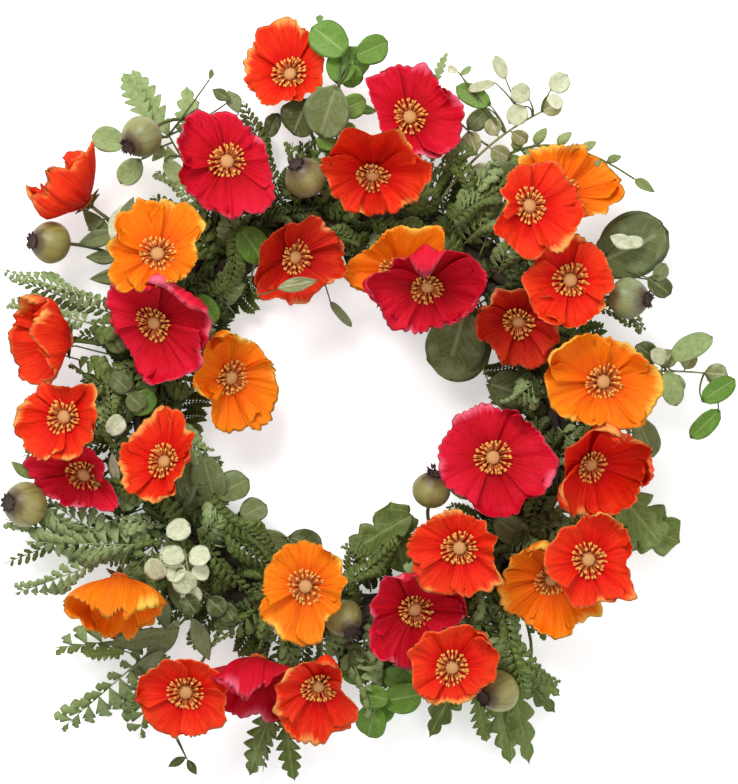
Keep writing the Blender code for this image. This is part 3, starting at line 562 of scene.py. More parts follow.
class Shell:
    """Points, faces and marks of one piece while it is being made."""

    def __init__(self):
        self.points = []
        self.faces = []
        self.marks = []
        self.count = 0

    def add(self, points, faces, marks):
        """Marks are four numbers for each point: along, across, seed and tone."""
        self.points.append(points.reshape(-1, 3))
        self.marks.append(marks.reshape(-1, 4))
        self.faces += [block + self.count for block in faces]
        self.count += len(self.points[-1])

    def finish(self, name, look, slot, *nodes):
        points = np.concatenate(self.points) + CENTRE
        mesh = bpy.data.meshes.new(name)
        faces = [face for block in self.faces for face in block.tolist()]
        mesh.from_pydata(points.tolist(), [], faces)
        marks = np.concatenate(self.marks)
        for index, mark in enumerate(MARKS):
            layer = mesh.attributes.new(mark, "FLOAT", "POINT")
            layer.data.foreach_set("value", np.ascontiguousarray(marks[:, index], np.float32))
        mesh.materials.append(look)
        mesh.shade_smooth()
        piece = bpy.data.objects.new(name, mesh)
        bpy.context.scene.collection.objects.link(piece)
        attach(piece, "root")
        if nodes:
            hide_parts(*nodes)
        return piece


def grid_quads(index, flip=False):
    """Quads of a grid of point numbers."""
    quads = np.stack([index[:-1, :-1], index[1:, :-1], index[1:, 1:], index[:-1, 1:]], axis=-1)
    quads = quads.reshape(-1, 4)
    return quads[:, ::-1] if flip else quads


def sheet(grid, thickness, marks):
    """A thin closed sheet around a grid of points, whose two faces meet along its border."""
    rows, columns = grid.shape[:2]
    normal = unit_rows(np.cross(np.gradient(grid, axis=0), np.gradient(grid, axis=1)))
    shift = normal * thickness / 2
    shift[0] = shift[-1] = 0
    shift[:, 0] = shift[:, -1] = 0
    front = np.arange(rows * columns).reshape(rows, columns)
    back = front.copy()
    inner = (rows - 2) * (columns - 2)
    back[1:-1, 1:-1] = rows * columns + np.arange(inner).reshape(rows - 2, columns - 2)
    points = np.concatenate(
        [(grid + shift).reshape(-1, 3), (grid - shift)[1:-1, 1:-1].reshape(-1, 3)]
    )
    marks = np.concatenate(
        [marks.reshape(-1, 4), marks[1:-1, 1:-1].reshape(-1, 4)]
    )
    return points, [grid_quads(front), grid_quads(back, flip=True)], marks


def grid_marks(along, across, seed, tone):
    """The four marks of each point of a grid."""
    along, across, seed, tone = np.broadcast_arrays(along, across, seed, tone)
    return np.stack([along, across, seed, tone], axis=-1).astype(float)


def lathe_faces(rows, columns):
    """Quads round rings of points, and a fan at either end."""
    index = np.arange(rows * columns).reshape(rows, columns)
    around = np.concatenate([index, index[:, :1]], axis=1)
    caps = [index[0][::-1][None, :], index[-1][None, :]]
    return [grid_quads(around, flip=True), *caps]


def rings_round(path, ahead, across, radii, turn):
    """Rings of points round a path."""
    beside = np.cross(ahead, across)
    return (
        path[:, None, :]
        + across[:, None, :] * (radii * np.cos(turn))[..., None]
        + beside[:, None, :] * (radii * np.sin(turn))[..., None]
    )


def tube(path, radii, sides, seed, tone, ridges=0.0):
    """A tube along a path, with its ends closed."""
    path = np.asarray(path)
    ahead = unit_rows(np.gradient(path, axis=0))
    steep = abs(ahead[:, 2:]) > 0.9
    across = unit_rows(np.cross(ahead, np.where(steep, [[1.0, 0, 0]], [[0, 0, 1.0]])))
    turn = circle(sides)
    radii = np.broadcast_to(np.asarray(radii, float), (len(path),))[:, None]
    if ridges:
        twist = 0.6 * np.arange(len(path))[:, None]
        radii = radii * (1 + ridges * np.sin(2 * turn[None, :] + twist))
    share = np.linspace(0, 1, len(path))[:, None]
    marks = grid_marks(share, turn[None, :] / math.tau, seed, tone)
    return rings_round(path, ahead, across, radii, turn), lathe_faces(len(path), sides), marks


def placed(template, bases, forward, left, up, seeds, tones):
    """Copies of a template shape, whose three axes are given for each, with their lengths."""
    points, faces, marks = template
    spots = bases[:, None, :] + (
        points[None, :, 0:1] * forward[:, None, :]
        + points[None, :, 1:2] * left[:, None, :]
        + points[None, :, 2:3] * up[:, None, :]
    )
    copies = len(bases)
    marks = np.repeat(marks[None], copies, axis=0)
    marks[:, :, 2] = np.asarray(seeds)[:, None]
    marks[:, :, 3] = np.asarray(tones)[:, None]
    steps = np.arange(copies) * len(points)
    blocks = [
        (block[None] + steps[:, None, None]).reshape(-1, block.shape[1]) for block in faces
    ]
    return spots.reshape(-1, 3), blocks, marks.reshape(-1, 4)


# Leaves
LeafForm = namedtuple("LeafForm", "rows columns teeth depth slant fold droop curl")
LEAF_FORMS = {
    "round": LeafForm(13, 11, 0, 0.0, 0.30, 0.16, 0.16, 0.10),
    "disc": LeafForm(9, 9, 0, 0.0, 0.10, 0.28, 0.04, 0.10),
    "lance": LeafForm(15, 7, 0, 0.0, 0.40, 0.30, 0.22, 0.06),
    "bud": LeafForm(9, 7, 0, 0.0, 0.30, 0.55, 0.06, 0.02),
    "serrated": LeafForm(43, 9, 6, 0.74, 0.75, 0.16, 0.24, 0.16),
    "lobed": LeafForm(43, 11, 4, 0.62, 0.45, 0.14, 0.20, 0.14),
    "pinna": LeafForm(5, 3, 2, 0.40, 0.60, 0.30, 0.20, 0.10),
    "parsley": LeafForm(9, 3, 2, 0.66, 0.80, 0.36, 0.30, 0.20),
}


def leaf_width(kind, t):
    """Half of a leaf's width along it, as a share of its largest half width."""
    form = LEAF_FORMS[kind]
    if kind == "round":
        return np.clip(1 - np.abs(2 * t**0.86 - 1) ** 2.4, 0.004, 1) ** 0.55
    if kind == "disc":
        return np.clip(1 - np.abs(2 * t - 1) ** 2.1, 0.004, 1) ** 0.5
    if kind == "lance":
        return np.clip(np.sin(math.pi * t**0.82), 0.01, 1) ** 0.9
    if kind == "bud":
        return np.clip(np.sin(math.pi * t**0.62), 0.01, 1) ** 0.8
    envelope = np.clip(np.sin(math.pi * np.clip(0.10 + 0.88 * t, 0, 1)), 0, 1) ** 0.7
    if kind == "lobed":
        envelope = np.clip(np.sin(math.pi * np.clip(0.12 + 0.80 * t, 0, 1)), 0, 1) ** 0.5
    phase = (t * form.teeth) % 1.0
    tooth = np.minimum(phase / 0.62, (1 - phase) / 0.38)
    tooth = np.clip(tooth, 0, 1) ** (0.70 if kind == "serrated" else 0.55)
    depth = form.depth * (1 - LOBES_FADE * t)
    width = envelope * (1 - depth + depth * tooth)
    return np.clip(width, 0.02, 1) * np.clip((1 - t) * 12, 0.05, 1)


def leaf_grid(kind, length, width, seed):
    """A leaf's sheet in its own axes: it points along x, and z is its upper side."""
    form = LEAF_FORMS[kind]
    t = np.linspace(0, 1, form.rows)[:, None]
    v = np.linspace(-1, 1, form.columns)[None, :]
    half = width / 2 * leaf_width(kind, t)
    forward = t * length + form.slant * np.abs(v) ** 1.3 * half * (1 - t) * 0.9
    side = v * half * (1 - 0.12 * form.fold)
    if kind == "round":
        forward = forward - np.clip(0.16 - t, 0, 1) * 1.1 * np.abs(v) * width * 0.6
    wave = form.curl * width * 0.35 * np.sin(5.5 * t + 3 * spread(seed, 3)) * v * np.abs(v)
    wave = wave + form.curl * width * 0.18 * np.sin(14 * t + 9 * spread(seed, 4)) * np.abs(v) ** 2
    rise = form.fold * np.abs(v) ** 1.4 * half - form.droop * t**2 * length + wave
    groove = -0.02 * width * np.exp(-((v * 5) ** 2)) * leaf_width(kind, t)
    forward, side, rise = np.broadcast_arrays(forward, side, rise + groove)
    return np.stack([forward, side, rise], axis=-1), grid_marks(t, v, 0.0, 0.0)


def leaf_axes(ahead, up):
    ahead = unit(ahead)
    left = unit(np.cross(up, ahead))
    return ahead, left, np.cross(ahead, left)


def add_leaf(shell, kind, base, ahead, up, length, width, seed, tone):
    grid, marks = leaf_grid(kind, length, width, seed)
    ahead, left, up = leaf_axes(ahead, up)
    turned = grid @ np.stack([ahead, left, up]) + base
    marks[..., 2] = seed
    marks[..., 3] = tone
    thickness = LEAF_SHEET * (4.0 if kind == "bud" else 1.0)
    shell.add(*sheet(turned, thickness, marks))


def unit_leaf(kind, seed):
    """A leaf of length and width 1, to copy."""
    grid, marks = leaf_grid(kind, 1.0, 1.0, seed)
    return sheet(grid, 0.04, marks)


PINNA = unit_leaf("pinna", 1)
PARSLEY = unit_leaf("parsley", 5)
BUD = unit_leaf("bud", 2)


def along_path(path, share):
    """Points at shares of a path's length of steps, and the directions there."""
    spot = np.clip(np.asarray(share) * (len(path) - 1), 0, len(path) - 1.001)
    low = spot.astype(int)
    part = (spot - low)[:, None]
    ahead = path[low + 1] - path[low]
    return path[low] + ahead * part, unit_rows(ahead)


def add_frond(shell, path, up, width, pairs, seed, tone, first=0.14, loose=0.0):
    """A frond: a thin midrib with pairs of small leaflets, shorter towards the tip. A loose one is
    uneven, with broader, deeper cut leaflets."""
    count = 2 * pairs
    step = np.arange(count)
    share = first + (LAST_LEAFLET - first) * (step // 2 + 0.35 * (step % 2)) / pairs
    bases, ahead = along_path(path, share)
    side = np.where(step % 2, 1.0, -1.0)[:, None]
    across = unit_rows(np.cross(up[None, :], ahead))
    raised = np.cross(ahead, across)
    done = (share - first) / (1 - first)
    jitter = np.array([spread(seed, each) for each in range(count)])
    toss = np.array([spread(seed + 17, each) for each in range(count)])
    size = width / 2 * np.sin(math.pi * (0.22 + 0.70 * done)) ** 0.8
    size = (size * (1 + (0.16 + 0.20 * loose) * jitter))[:, None]
    splay = np.radians(58 - 22 * done + (10 + 22 * loose) * jitter)[:, None]
    forward = ahead * np.cos(splay) + across * side * np.sin(splay)
    forward = unit_rows(forward - raised * (0.10 + (0.22 + 0.30 * loose) * toss[:, None]))
    left = unit_rows(np.cross(raised, forward))
    top = np.cross(forward, left)
    tones = np.clip(tone + 0.12 * jitter, 0, 1)
    shape, breadth = (PARSLEY, 0.66) if loose else (PINNA, 0.52)
    axes = forward * size, left * size * breadth, top * size
    shell.add(*placed(shape, bases, *axes, np.full(count, seed), tones))
    shell.add(*tube(path, np.linspace(*MIDRIB_RADII, len(path)), 4, seed, tone))


# Poppies
def bloom_frame(bloom):
    """The bloom's base, and its own axes as columns: its face looks along the third."""
    away = (bloom.out - 1) * RING_RADIUS / DOME_REACH
    up = DOME_HEIGHT - DOME_FALL * away**2 + bloom.layer * LAYER_STEP + bloom.lift
    return polar(bloom.around, bloom.out * RING_RADIUS, up), tipped(bloom.lean_to, bloom.lean)


def tipped(lean_to, lean):
    """Axes that are tipped by an angle towards a direction."""
    x, y, z = polar(lean_to + 90, 1, 0)
    sine, cosine = math.sin(math.radians(lean)), math.cos(math.radians(lean))
    cross = np.array([[0, -z, y], [z, 0, -x], [-y, x, 0]])
    return np.eye(3) + sine * cross + (1 - cosine) * cross @ cross


def curl_of(bloom, number):
    return FOLDED_BLOOMS.get(number, bloom.curl)


def curl_at(bloom, number, angle):
    """How far the petals fold over at an angle from the bloom's turn."""
    return curl_of(bloom, number) * np.maximum(0, np.cos(angle)) ** 2


def bloom_surface(bloom, number, angle, share, length):
    """How far out and how high a bloom lies at an angle and a share of its length, and how folded."""
    seed = 40 * number
    curled = curl_at(bloom, number, angle)
    fold = np.clip(1.5 * uneven(angle, seed + 1, 2 * bloom.petals + 1) - 0.25, 0, 1)
    fold = fold * (FOLD_PLAIN + FOLD_MORE * min(curl_of(bloom, number), 0.3))
    past = np.maximum(share - FOLD_START, 0)
    bend = fold * FOLD_ANGLE * (past / (1 - FOLD_START)) ** 0.7
    drawn = CUP_DRAW * bloom.cup * share**2 + CURL_DRAW * curled * share
    reach = length * (share - past + past * np.cos(bend)) * (1 - drawn)
    rise = bloom.cup * share**CUP_POWER + CURL_RISE * curled * share**1.6 + length * past * np.sin(bend)
    for knots, height, power in RUFFLES:
        ruffle = height * uneven(angle, seed + knots, knots * bloom.petals) * share**power
        rise = rise + ruffle * (1 - RUFFLES_PRESSED * np.minimum(curled, 1))
    for knots, height in CRINKLES:
        crinkle = uneven(angle, seed + knots, knots * bloom.petals)
        rise = rise + height * crinkle * np.sin(math.pi * np.clip(share, 0, 1)) ** 0.6
    return reach, rise, fold


def fitted_outline(bloom, number, tip):
    """The petals' lengths round a bloom, so that from above its rim lies where RIMS says."""
    angle = np.arange(OUTLINE_STEPS) * math.tau / OUTLINE_STEPS
    length = np.ones(OUTLINE_STEPS)
    if RIMS[number] is None:
        return length
    spin = math.radians(bloom.turn) + angle
    for turn in range(OUTLINE_TURNS):
        reach, rise, fold = bloom_surface(bloom, number, angle, 1.0, length)
        rim = np.stack([reach * np.cos(spin), reach * np.sin(spin), rise - 0.08], axis=1) @ tip.T
        away = np.hypot(rim[:, 0], rim[:, 1]) * BLOOM_RADIUS * bloom.size
        wanted = round_values(RIMS[number], np.arctan2(rim[:, 1], rim[:, 0])) / 1000
        length = np.clip(length * (wanted / away) ** 0.8, RIM_LEAST, RIM_MOST)
        length = (np.roll(length, 1) + 2 * length + np.roll(length, -1)) / 4
    return length * 1.03


def scallops(angle, seed):
    """Uneven round lobes along a rim, from about -0.6 in the notches to 0.4."""
    turn = SCALLOPS * angle + SCALLOP_DRIFT * uneven(angle, seed + 3, 13)
    return (np.abs(np.sin(turn)) - 0.6) * np.clip(0.55 + 0.65 * uneven(angle, seed + 4, 19), 0, 1)


def petal_sheet(bloom, number, petal, outline):
    """One petal in the bloom's axes: all petals of a bloom lie on one ruffled bowl, edges overlapping."""
    half = math.pi / bloom.petals
    share = np.linspace(PETAL_HEEL, 1, PETAL_ROWS)[:, None] ** 0.85
    across = np.linspace(-PETAL_OVERLAP, PETAL_OVERLAP, PETAL_COLUMNS)[None, :]
    angle = half * (2 * petal + across)
    seed = 40 * number + 7 * petal + 11
    length = round_values(outline, angle) * (1 - PETAL_NOTCH * np.abs(across) ** 3.2)
    length = length * (1 + RIM_UNEVEN * uneven(angle, seed, 5 * bloom.petals + 1))
    scallop = scallops(angle, seed)
    nicks = RIM_NICKS * uneven(angle, seed + 1, 9 * bloom.petals)
    length = length * (1 + SCALLOP_DEPTH * scallop + nicks)
    reach, rise, fold = bloom_surface(bloom, number, angle, share, length)
    layer = 0.5 if petal == 4 else petal % 2
    rise = rise + PETAL_LAYER * layer * np.clip(share * 2.4, 0, 1)
    rise = rise + PETAL_EDGE * layer * share * np.abs(across) ** 3
    rise = rise + SCALLOP_RISE * scallop * share**5
    spin = np.radians(bloom.turn) + angle
    grid = np.stack([reach * np.cos(spin), reach * np.sin(spin), rise], axis=-1)
    # Painted highlights: pale patches near the rim, stronger where the rim folds up, where light catches
    # the fabric. Their strength goes to the shader as the petal's tone mark.
    rim = np.clip((share - 1 + HIGHLIGHT_REACH) / HIGHLIGHT_REACH, 0, 1) * np.clip((1.25 - np.abs(across)) / 0.4, 0, 1)
    highlight_spots = np.clip(1.5 * uneven(angle, seed + 2, 3 * bloom.petals) + 0.05, 0, 1)
    pale = np.clip(rim * highlight_spots + 0.25 * rim * fold, 0, 1)
    return grid * BLOOM_RADIUS * bloom.size, grid_marks(share, across, seed * 0.37, pale)


def bead(path_from, path_to, radius, seed, tone):
    """A small spindle between two points."""
    path = path_from + (path_to - path_from) * np.array([0.0, 0.3, 0.7, 1.0])[:, None]
    return tube(path, radius * np.array([0.35, 1.0, 1.0, 0.35]), 4, seed, tone)


def lathe(profile, turn, width, height, ribs=1.0):
    """Rings of points for a profile of shares of a width and a height."""
    out, up = np.asarray(profile).T[:, :, None]
    far = out * ribs * width
    return np.stack([far * np.cos(turn), far * np.sin(turn), up * height + 0 * turn], axis=-1)


def add_lathe(shell, rings, base, tip, across, seed, tone, along=None):
    """Adds rings of points, tipped and moved to a base, with a cap at either end."""
    along = np.linspace(0, 1, len(rings)) if along is None else along
    marks = grid_marks(along[:, None], across[None, :], seed, tone)
    shell.add(rings @ tip.T + base, lathe_faces(*rings.shape[:2]), marks)


def add_scales(shell, turns, slope, rim, size, base, tip, seed, tone):
    """Small pointed scales round an axis, at angles on a rim, each sloping outwards."""
    out = np.array([polar(turn, *slope) for turn in turns]) @ tip.T
    side = np.array([polar(turn + 90, 1, 0) for turn in turns]) @ tip.T
    bases = base + np.array([polar(turn, *rim) for turn in turns]) @ tip.T
    length, width, depth = size
    axes = out * length, side * width, np.cross(out, side) * depth
    shell.add(*placed(BUD, bases, *axes, np.full(len(turns), seed), np.full(len(turns), tone)))


def add_stamens(shell, bloom, number, base, tip):
    """Rings of curved filaments with anthers, round a ribbed ovary."""
    size = STAMEN_REACH * (1 - STAMEN_GROWTH + STAMEN_GROWTH * bloom.size)
    size *= 1 - STAMEN_CROWDING * max(0, bloom.cup - 0.30)
    petal = BLOOM_RADIUS * bloom.size
    round_drift, out_drift, up_drift = STAMEN_DRIFTS
    heel_out, heel_up = STAMEN_HEEL
    for tier, (count, out, up) in enumerate(STAMEN_TIERS):
        for step in range(count):
            turn = 360 * (step + round_drift * spread(number + tier, step)) / count
            pressed = curl_at(bloom, number, math.radians(turn - bloom.turn))
            far = size * out * (1 + out_drift * spread(step, number)) * (1 - STAMEN_PRESSED * pressed)
            bowl = bloom.cup * (far / petal) ** CUP_POWER * petal
            high = size * up * (1 + up_drift * spread(number + 3, step)) + bowl
            start = polar(turn, size * heel_out, size * heel_up)
            control = polar(turn, far * 0.66, high * 1.2)
            end = polar(turn + 6 * spread(number, step + 40), far, high)
            path = bent_path(start, control, end, 2) @ tip.T + base
            ahead = unit(path[-1] - path[-2])
            shell.add(*tube(path, FILAMENT_RADIUS, 3, step, 0.30))
            ends = path[-1] - ahead * ANTHER_LENGTH * 0.3, path[-1] + ahead * ANTHER_LENGTH * 0.7
            shell.add(*bead(*ends, ANTHER_RADIUS, step, 0.80 + 0.20 * spread(step, tier)))
    turn = circle(OVARY_COLUMNS)
    skirt = lathe(OVARY_SKIRT, turn, size, size, 1 + 0.06 * np.cos(12 * turn))
    add_lathe(shell, skirt, base, tip, turn, number, 0.10)
    dome = lathe(OVARY_DOME, turn, size, size, 1 + 0.04 * np.cos(8 * turn))
    add_lathe(shell, dome, base, tip, turn, number, 2.0)


def add_stem(shell, base, axis, neck, root, seed):
    """A wire stem that leaves a bloom or pod along its axis and bends to its root in the vines."""
    start = base - axis * neck
    bend = start - axis * np.linalg.norm(start - root) * STEM_BEND
    path = bent_path(start, bend, root, STEM_STEPS)
    radii = STEM_RADIUS * np.linspace(1.05, 0.9, STEM_STEPS + 1)
    shell.add(*tube(path, radii, 7, seed, 0.5, ridges=0.06))


def add_calyx(shell, number, base, tip):
    """A green cup with sepals under a bloom."""
    turn = circle(CALYX_COLUMNS)
    cup = lathe(CALYX_PROFILE, turn, CALYX_RADIUS, CALYX_DEPTH)
    add_lathe(shell, cup, base, tip, turn, number, 0.4)
    turns = [360 / SEPALS * step + 15 * spread(number, step) for step in range(SEPALS)]
    rim = CALYX_RADIUS * 0.7, -CALYX_DEPTH * 0.75
    add_scales(shell, turns, (1, 0.28), rim, SEPAL_SIZE, base, tip, number, 0.6)


def kept_low(points):
    """The same points, but bent over so that none stands above the wreath's own height."""
    start = cad_box[1][2] + HEADROOM - EASING
    over = np.maximum(points[..., 2] - start, 0)
    lowered = points.copy()
    lowered[..., 2] += EASING * (1 - np.exp(-over / EASING)) - over
    return lowered


def build_blooms():
    counts = {}
    for number, bloom in enumerate(BLOOMS):
        counts[bloom.tint] = counts.get(bloom.tint, 0) + 1
        node = f"{bloom.tint}_poppy_{counts[bloom.tint]:02d}"
        base, tip = bloom_frame(bloom)
        petals = Shell()
        outline = fitted_outline(bloom, number, tip)
        for petal in range(bloom.petals):
            grid, marks = petal_sheet(bloom, number, petal, outline)
            petals.add(*sheet(kept_low(grid @ tip.T + base), PETAL_THICKNESS, marks))
        # Blooms in shade get the darker scarlet, which is partly painted shade.
        look = "dark_shaded_scarlet" if number in DARK_AND_SHADED_BLOOMS else bloom.tint
        petals.finish(f"{node}_petals", LOOKS[look], f"{bloom.tint}_petals", node)
        stamens = Shell()
        add_stamens(stamens, bloom, number, base, tip)
        stamens.finish(f"{node}_stamens", LOOKS["stamens"], "stamens", node)
        stem = Shell()
        add_calyx(stem, number, base, tip)
        root = ring_core(bloom.around + bloom.shift)
        add_stem(stem, base, tip[:, 2], CALYX_DEPTH, root, number)
        stem.finish(f"{node}_stem", LOOKS["stem"], "flower_stem", node)


# Seed pods
def build_pods():
    turn = circle(POD_COLUMNS)
    up = np.linspace(0.02, 0.93, POD_ROWS)
    belly = np.clip(np.sin(math.pi * np.clip(up * 1.02, 0, 1) ** 0.88), 0, 1) ** 0.62
    profile = np.stack([0.99 * belly + 0.10, up], axis=1)
    ribs = 1 + 0.012 * np.cos(7 * turn) * np.sin(math.pi * up)[:, None]
    frill = np.array(CROWN_FRILL) / np.array(CROWN_PROFILE)[:, 0]
    frill = 1 + frill[:, None] * np.cos(9 * turn)
    for number, pod in enumerate(PODS):
        tip = tipped(pod.lean_to, pod.lean)
        axis = tip[:, 2]
        middle = polar(pod.around, pod.out * RING_RADIUS, pod.up * DOME_HEIGHT + pod.lift)
        base = middle - axis * POD_LENGTH * pod.size / 2
        size = POD_RADIUS * pod.size, POD_LENGTH * pod.size
        body = Shell()
        streaks = turn / math.tau * 9
        add_lathe(body, lathe(profile, turn, *size, ribs), base, tip, streaks, number * 1.7, pod.tone, up)
        crown = Shell()
        add_lathe(crown, lathe(CROWN_PROFILE, turn, *size, frill), base, tip, turn, number, 0.5)
        turns = [360 / CROWN_TIPS * step + 12 * spread(number, step) for step in range(CROWN_TIPS)]
        rim = POD_RADIUS * 0.28, POD_LENGTH * 0.93
        add_scales(crown, turns, (0.75, 0.85), rim, CROWN_TIP_SIZE, base, tip, 0.4, 0.4)
        stem = Shell()
        add_stem(stem, base, axis, 0.0, ring_core(pod.around + pod.shift), number)
        node = f"seed_pod_{number + 1}"
        body.finish(f"{node}_body", LOOKS["pod"], "seed_pod", node)
        crown.finish(f"{node}_crown", LOOKS["crown"], "seed_pod", node)
        stem.finish(f"{node}_stem", LOOKS["stem"], "flower_stem", node)


# Leaf sprays
def spray_path(spray):
    start = ring_core(spray.root)
    end = polar(spray.around, spray.out * RING_RADIUS, spray.up * DOME_HEIGHT)
    if spray.pairs == 0:
        heel = end - unit(end - start) * spray.length * LEAF_LENGTH
        return bent_path(start, (start + heel) / 2, heel, 12)
    run = end - start
    control = (start + end) / 2 + np.array([-run[1], run[0], 0]) * spray.sway
    control[2] = max(start[2], end[2]) + spray.arch * DOME_HEIGHT
    return bent_path(start, control, end, 16)


def plump_bud():
    """A closed, three-sided bud of length and width 1, which points along x."""
    turn = circle(BUD_COLUMNS)
    rings = lathe(BUD_PROFILE, turn, 1.0, 1.0, 1 + 0.10 * np.cos(3 * turn))
    share = np.array([up for out, up in BUD_PROFILE])[:, None]
    marks = grid_marks(share, np.cos(1.5 * turn)[None, :], 0.0, 0.0)
    return rings.reshape(-1, 3)[:, [2, 0, 1]], lathe_faces(*rings.shape[:2]), marks.reshape(-1, 4)


def add_bud(shell, base, ahead, length, width, seed, tone):
    ahead, left, up = leaf_axes(ahead, UP)
    axes = [axis[None] for axis in (ahead * length, left * width, up * width)]
    shell.add(*placed(plump_bud(), base[None], *axes, [seed], [tone]))


def add_spray_leaf(shell, spray, base, ahead, up, size, seed, tone):
    """A leaf of a spray, or a frond with a few pairs of broad, wedge-shaped leaflets."""
    length, width = spray.length * size, spray.width * size
    if spray.leaf == "fans":
        path = base + unit(ahead) * length * np.linspace(0, 1, 9)[:, None]
        add_frond(shell, path, unit(up), width * FAN_SPREAD, FAN_PAIRS, seed, tone, 0.04, 0.6)
    else:
        add_leaf(shell, spray.leaf, base, ahead, up, length, width, seed, tone)


def build_sprays():
    for number, spray in enumerate(SPRAYS):
        path = spray_path(spray)
        shell = Shell()
        shell.add(*tube(path, np.linspace(*TWIG_RADII, len(path)), 6, number, 0.3))
        for step in range(2 * spray.pairs):
            done = step / (2 * spray.pairs)
            spots, aheads = along_path(path, [spray.first + (LAST_LEAF - spray.first) * done])
            spot, ahead = spots[0], aheads[0]
            side = 1 if step % 2 else -1
            splay = math.radians(spray.splay + 8 * spread(number, step)) * side
            cosine, sine = math.cos(splay), math.sin(splay)
            out = np.array([
                ahead[0] * cosine - ahead[1] * sine,
                ahead[0] * sine + ahead[1] * cosine,
                ahead[2] - LEAF_HANG,
            ])
            size = (1 - 0.35 * done) * LEAF_LENGTH
            if spray.node == "ivy_sprig_top" and done < 0.6:
                size *= 0.55
            stalk = spot + unit(out) * size * STALK_SHARE
            shell.add(*tube(np.array([spot, (spot + stalk) / 2, stalk]), LEAFLET_STALK, 5, step, 0.4))
            seed, tone = number * 5 + step, spray.tone + TONE_UNEVEN * spread(step, number)
            if spray.leaf == "bud":
                length, width = spray.length * size * BUD_SHARE, spray.width * size
                add_bud(shell, stalk, out, length, width, seed, tone)
            else:
                add_spray_leaf(shell, spray, stalk, out, UP - ahead * LEAF_ROLL, size, seed, tone)
        spots, aheads = along_path(path, [1.0])
        size = LEAF_LENGTH * (0.9 if spray.pairs else 1.0)
        add_spray_leaf(shell, spray, spots[0], aheads[0], UP, size, number * 5 + 4, spray.tone)
        shell.finish(f"{spray.node}_leaves", LOOKS[spray.slot], spray.slot, spray.node)


def build_single_leaves():
    shells = {slot: Shell() for slot, tone in SLOTS_BY_SHADE.values()}
    stalks = Shell()
    twigs = np.concatenate([spray_path(spray)[4:] for spray in SPRAYS])
    for number, leaf in enumerate(LEAVES):
        slot, tone = SLOTS_BY_SHADE[leaf.shade]
        heel, tip = ends_of(leaf, LEAF_DROP_UNEVEN * spread(number, 1) - LEAF_DROP)
        run = tip - heel
        root = ring_core(around_of(heel) + 5 * spread(number, 2))
        gaps = np.linalg.norm(twigs - heel, axis=1)
        if gaps.min() < 0.7 * np.linalg.norm(root - heel):
            root = twigs[gaps.argmin()]
        bend = (root + heel) / 2
        bend[2] = max(heel[2], STALK_LOWEST) - LEAF_DROP
        bend = ROUND_A_RIM.get((leaf.heel_x, leaf.heel_y), bend - run * 0.25)
        path = bent_path(root, bend, heel, 10)
        stalks.add(*tube(path, np.linspace(*STALK_RADII, len(path)), 5, number, 0.4))
        lean = UP + np.array([spread(number, 5), spread(number, 6), 0]) * 0.30
        tone += TONE_UNEVEN * spread(number, 7)
        length = np.linalg.norm(run)
        add_leaf(shells[slot], leaf.kind, heel, run, lean, length, leaf.width / 1000, number, tone)
    for slot, shell in shells.items():
        shell.finish(f"single_{slot}", LOOKS[slot], slot)
    stalks.finish("single_leaf_stalks", LOOKS["stem"], "flower_stem")


# Fern fronds
Fringe = namedtuple("Fringe", "node side joint valley reach prongs")
FRINGES = (
    Fringe("outer_fern_fringe", 1, 0.007, 0.015, 0.052,
           ((-0.66, 0.75), (-0.30, 0.60), (0.0, 1.0), (0.32, 0.62), (0.62, 0.85))),
    Fringe("inner_fern_fringe", -1, 0.005, 0.010, 0.030, ((-0.50, 1.0), (0.02, 0.70), (0.55, 0.85))),
)
LONG_FRONDS = (
    (75, 1.611), (109, 1.669), (158, 1.851), (187, 1.657), (203, 1.886), (256, 1.829), (356, 1.520)
)


def build_fringes():
    step = 360 / FRINGE_GROUPS
    for fringe in FRINGES:
        shell = Shell()
        flank = RING_RADIUS + fringe.side * VINE_WIDTH / 2
        for number in range(FRINGE_GROUPS):
            middle = (number + 0.5) * step
            for prong, (aside, share) in enumerate(fringe.prongs):
                turn = middle + aside * step / 2
                out = flank + fringe.side * fringe.reach * share
                out += FROND_UNEVEN * spread(number, prong) * share
                for long_around, long_share in LONG_FRONDS:
                    if fringe.side > 0 and aside == 0 and abs(long_around - middle) <= step / 2:
                        turn, out = long_around, long_share * RING_RADIUS
                heel_turn = middle + aside * step * 0.38
                heel = polar(heel_turn, flank - fringe.side * FRINGE_ARCH, FROND_HEIGHT)
                tip = polar(turn, out, FROND_HEIGHT + FROND_RISE * share)
                path = bent_path(heel, (heel + tip) / 2 + UP * FRINGE_ARCH, tip, 12)
                pairs = 9 if out < LONG_FROND else 15
                seed, tone = number * 11 + prong, 0.25 + 0.2 * share
                add_frond(shell, path, UP, FRINGE_WIDTHS[fringe.side], pairs, seed, tone)
        shell.finish(f"{fringe.node}_fronds", LOOKS["fern_leaf"], "fern_leaf", fringe.node)


def finish_quarters(shells, name):
    for quarter, shell in enumerate(shells):
        shell.finish(f"{name}_{quarter + 1}", LOOKS["fern_leaf"], "fern_leaf")


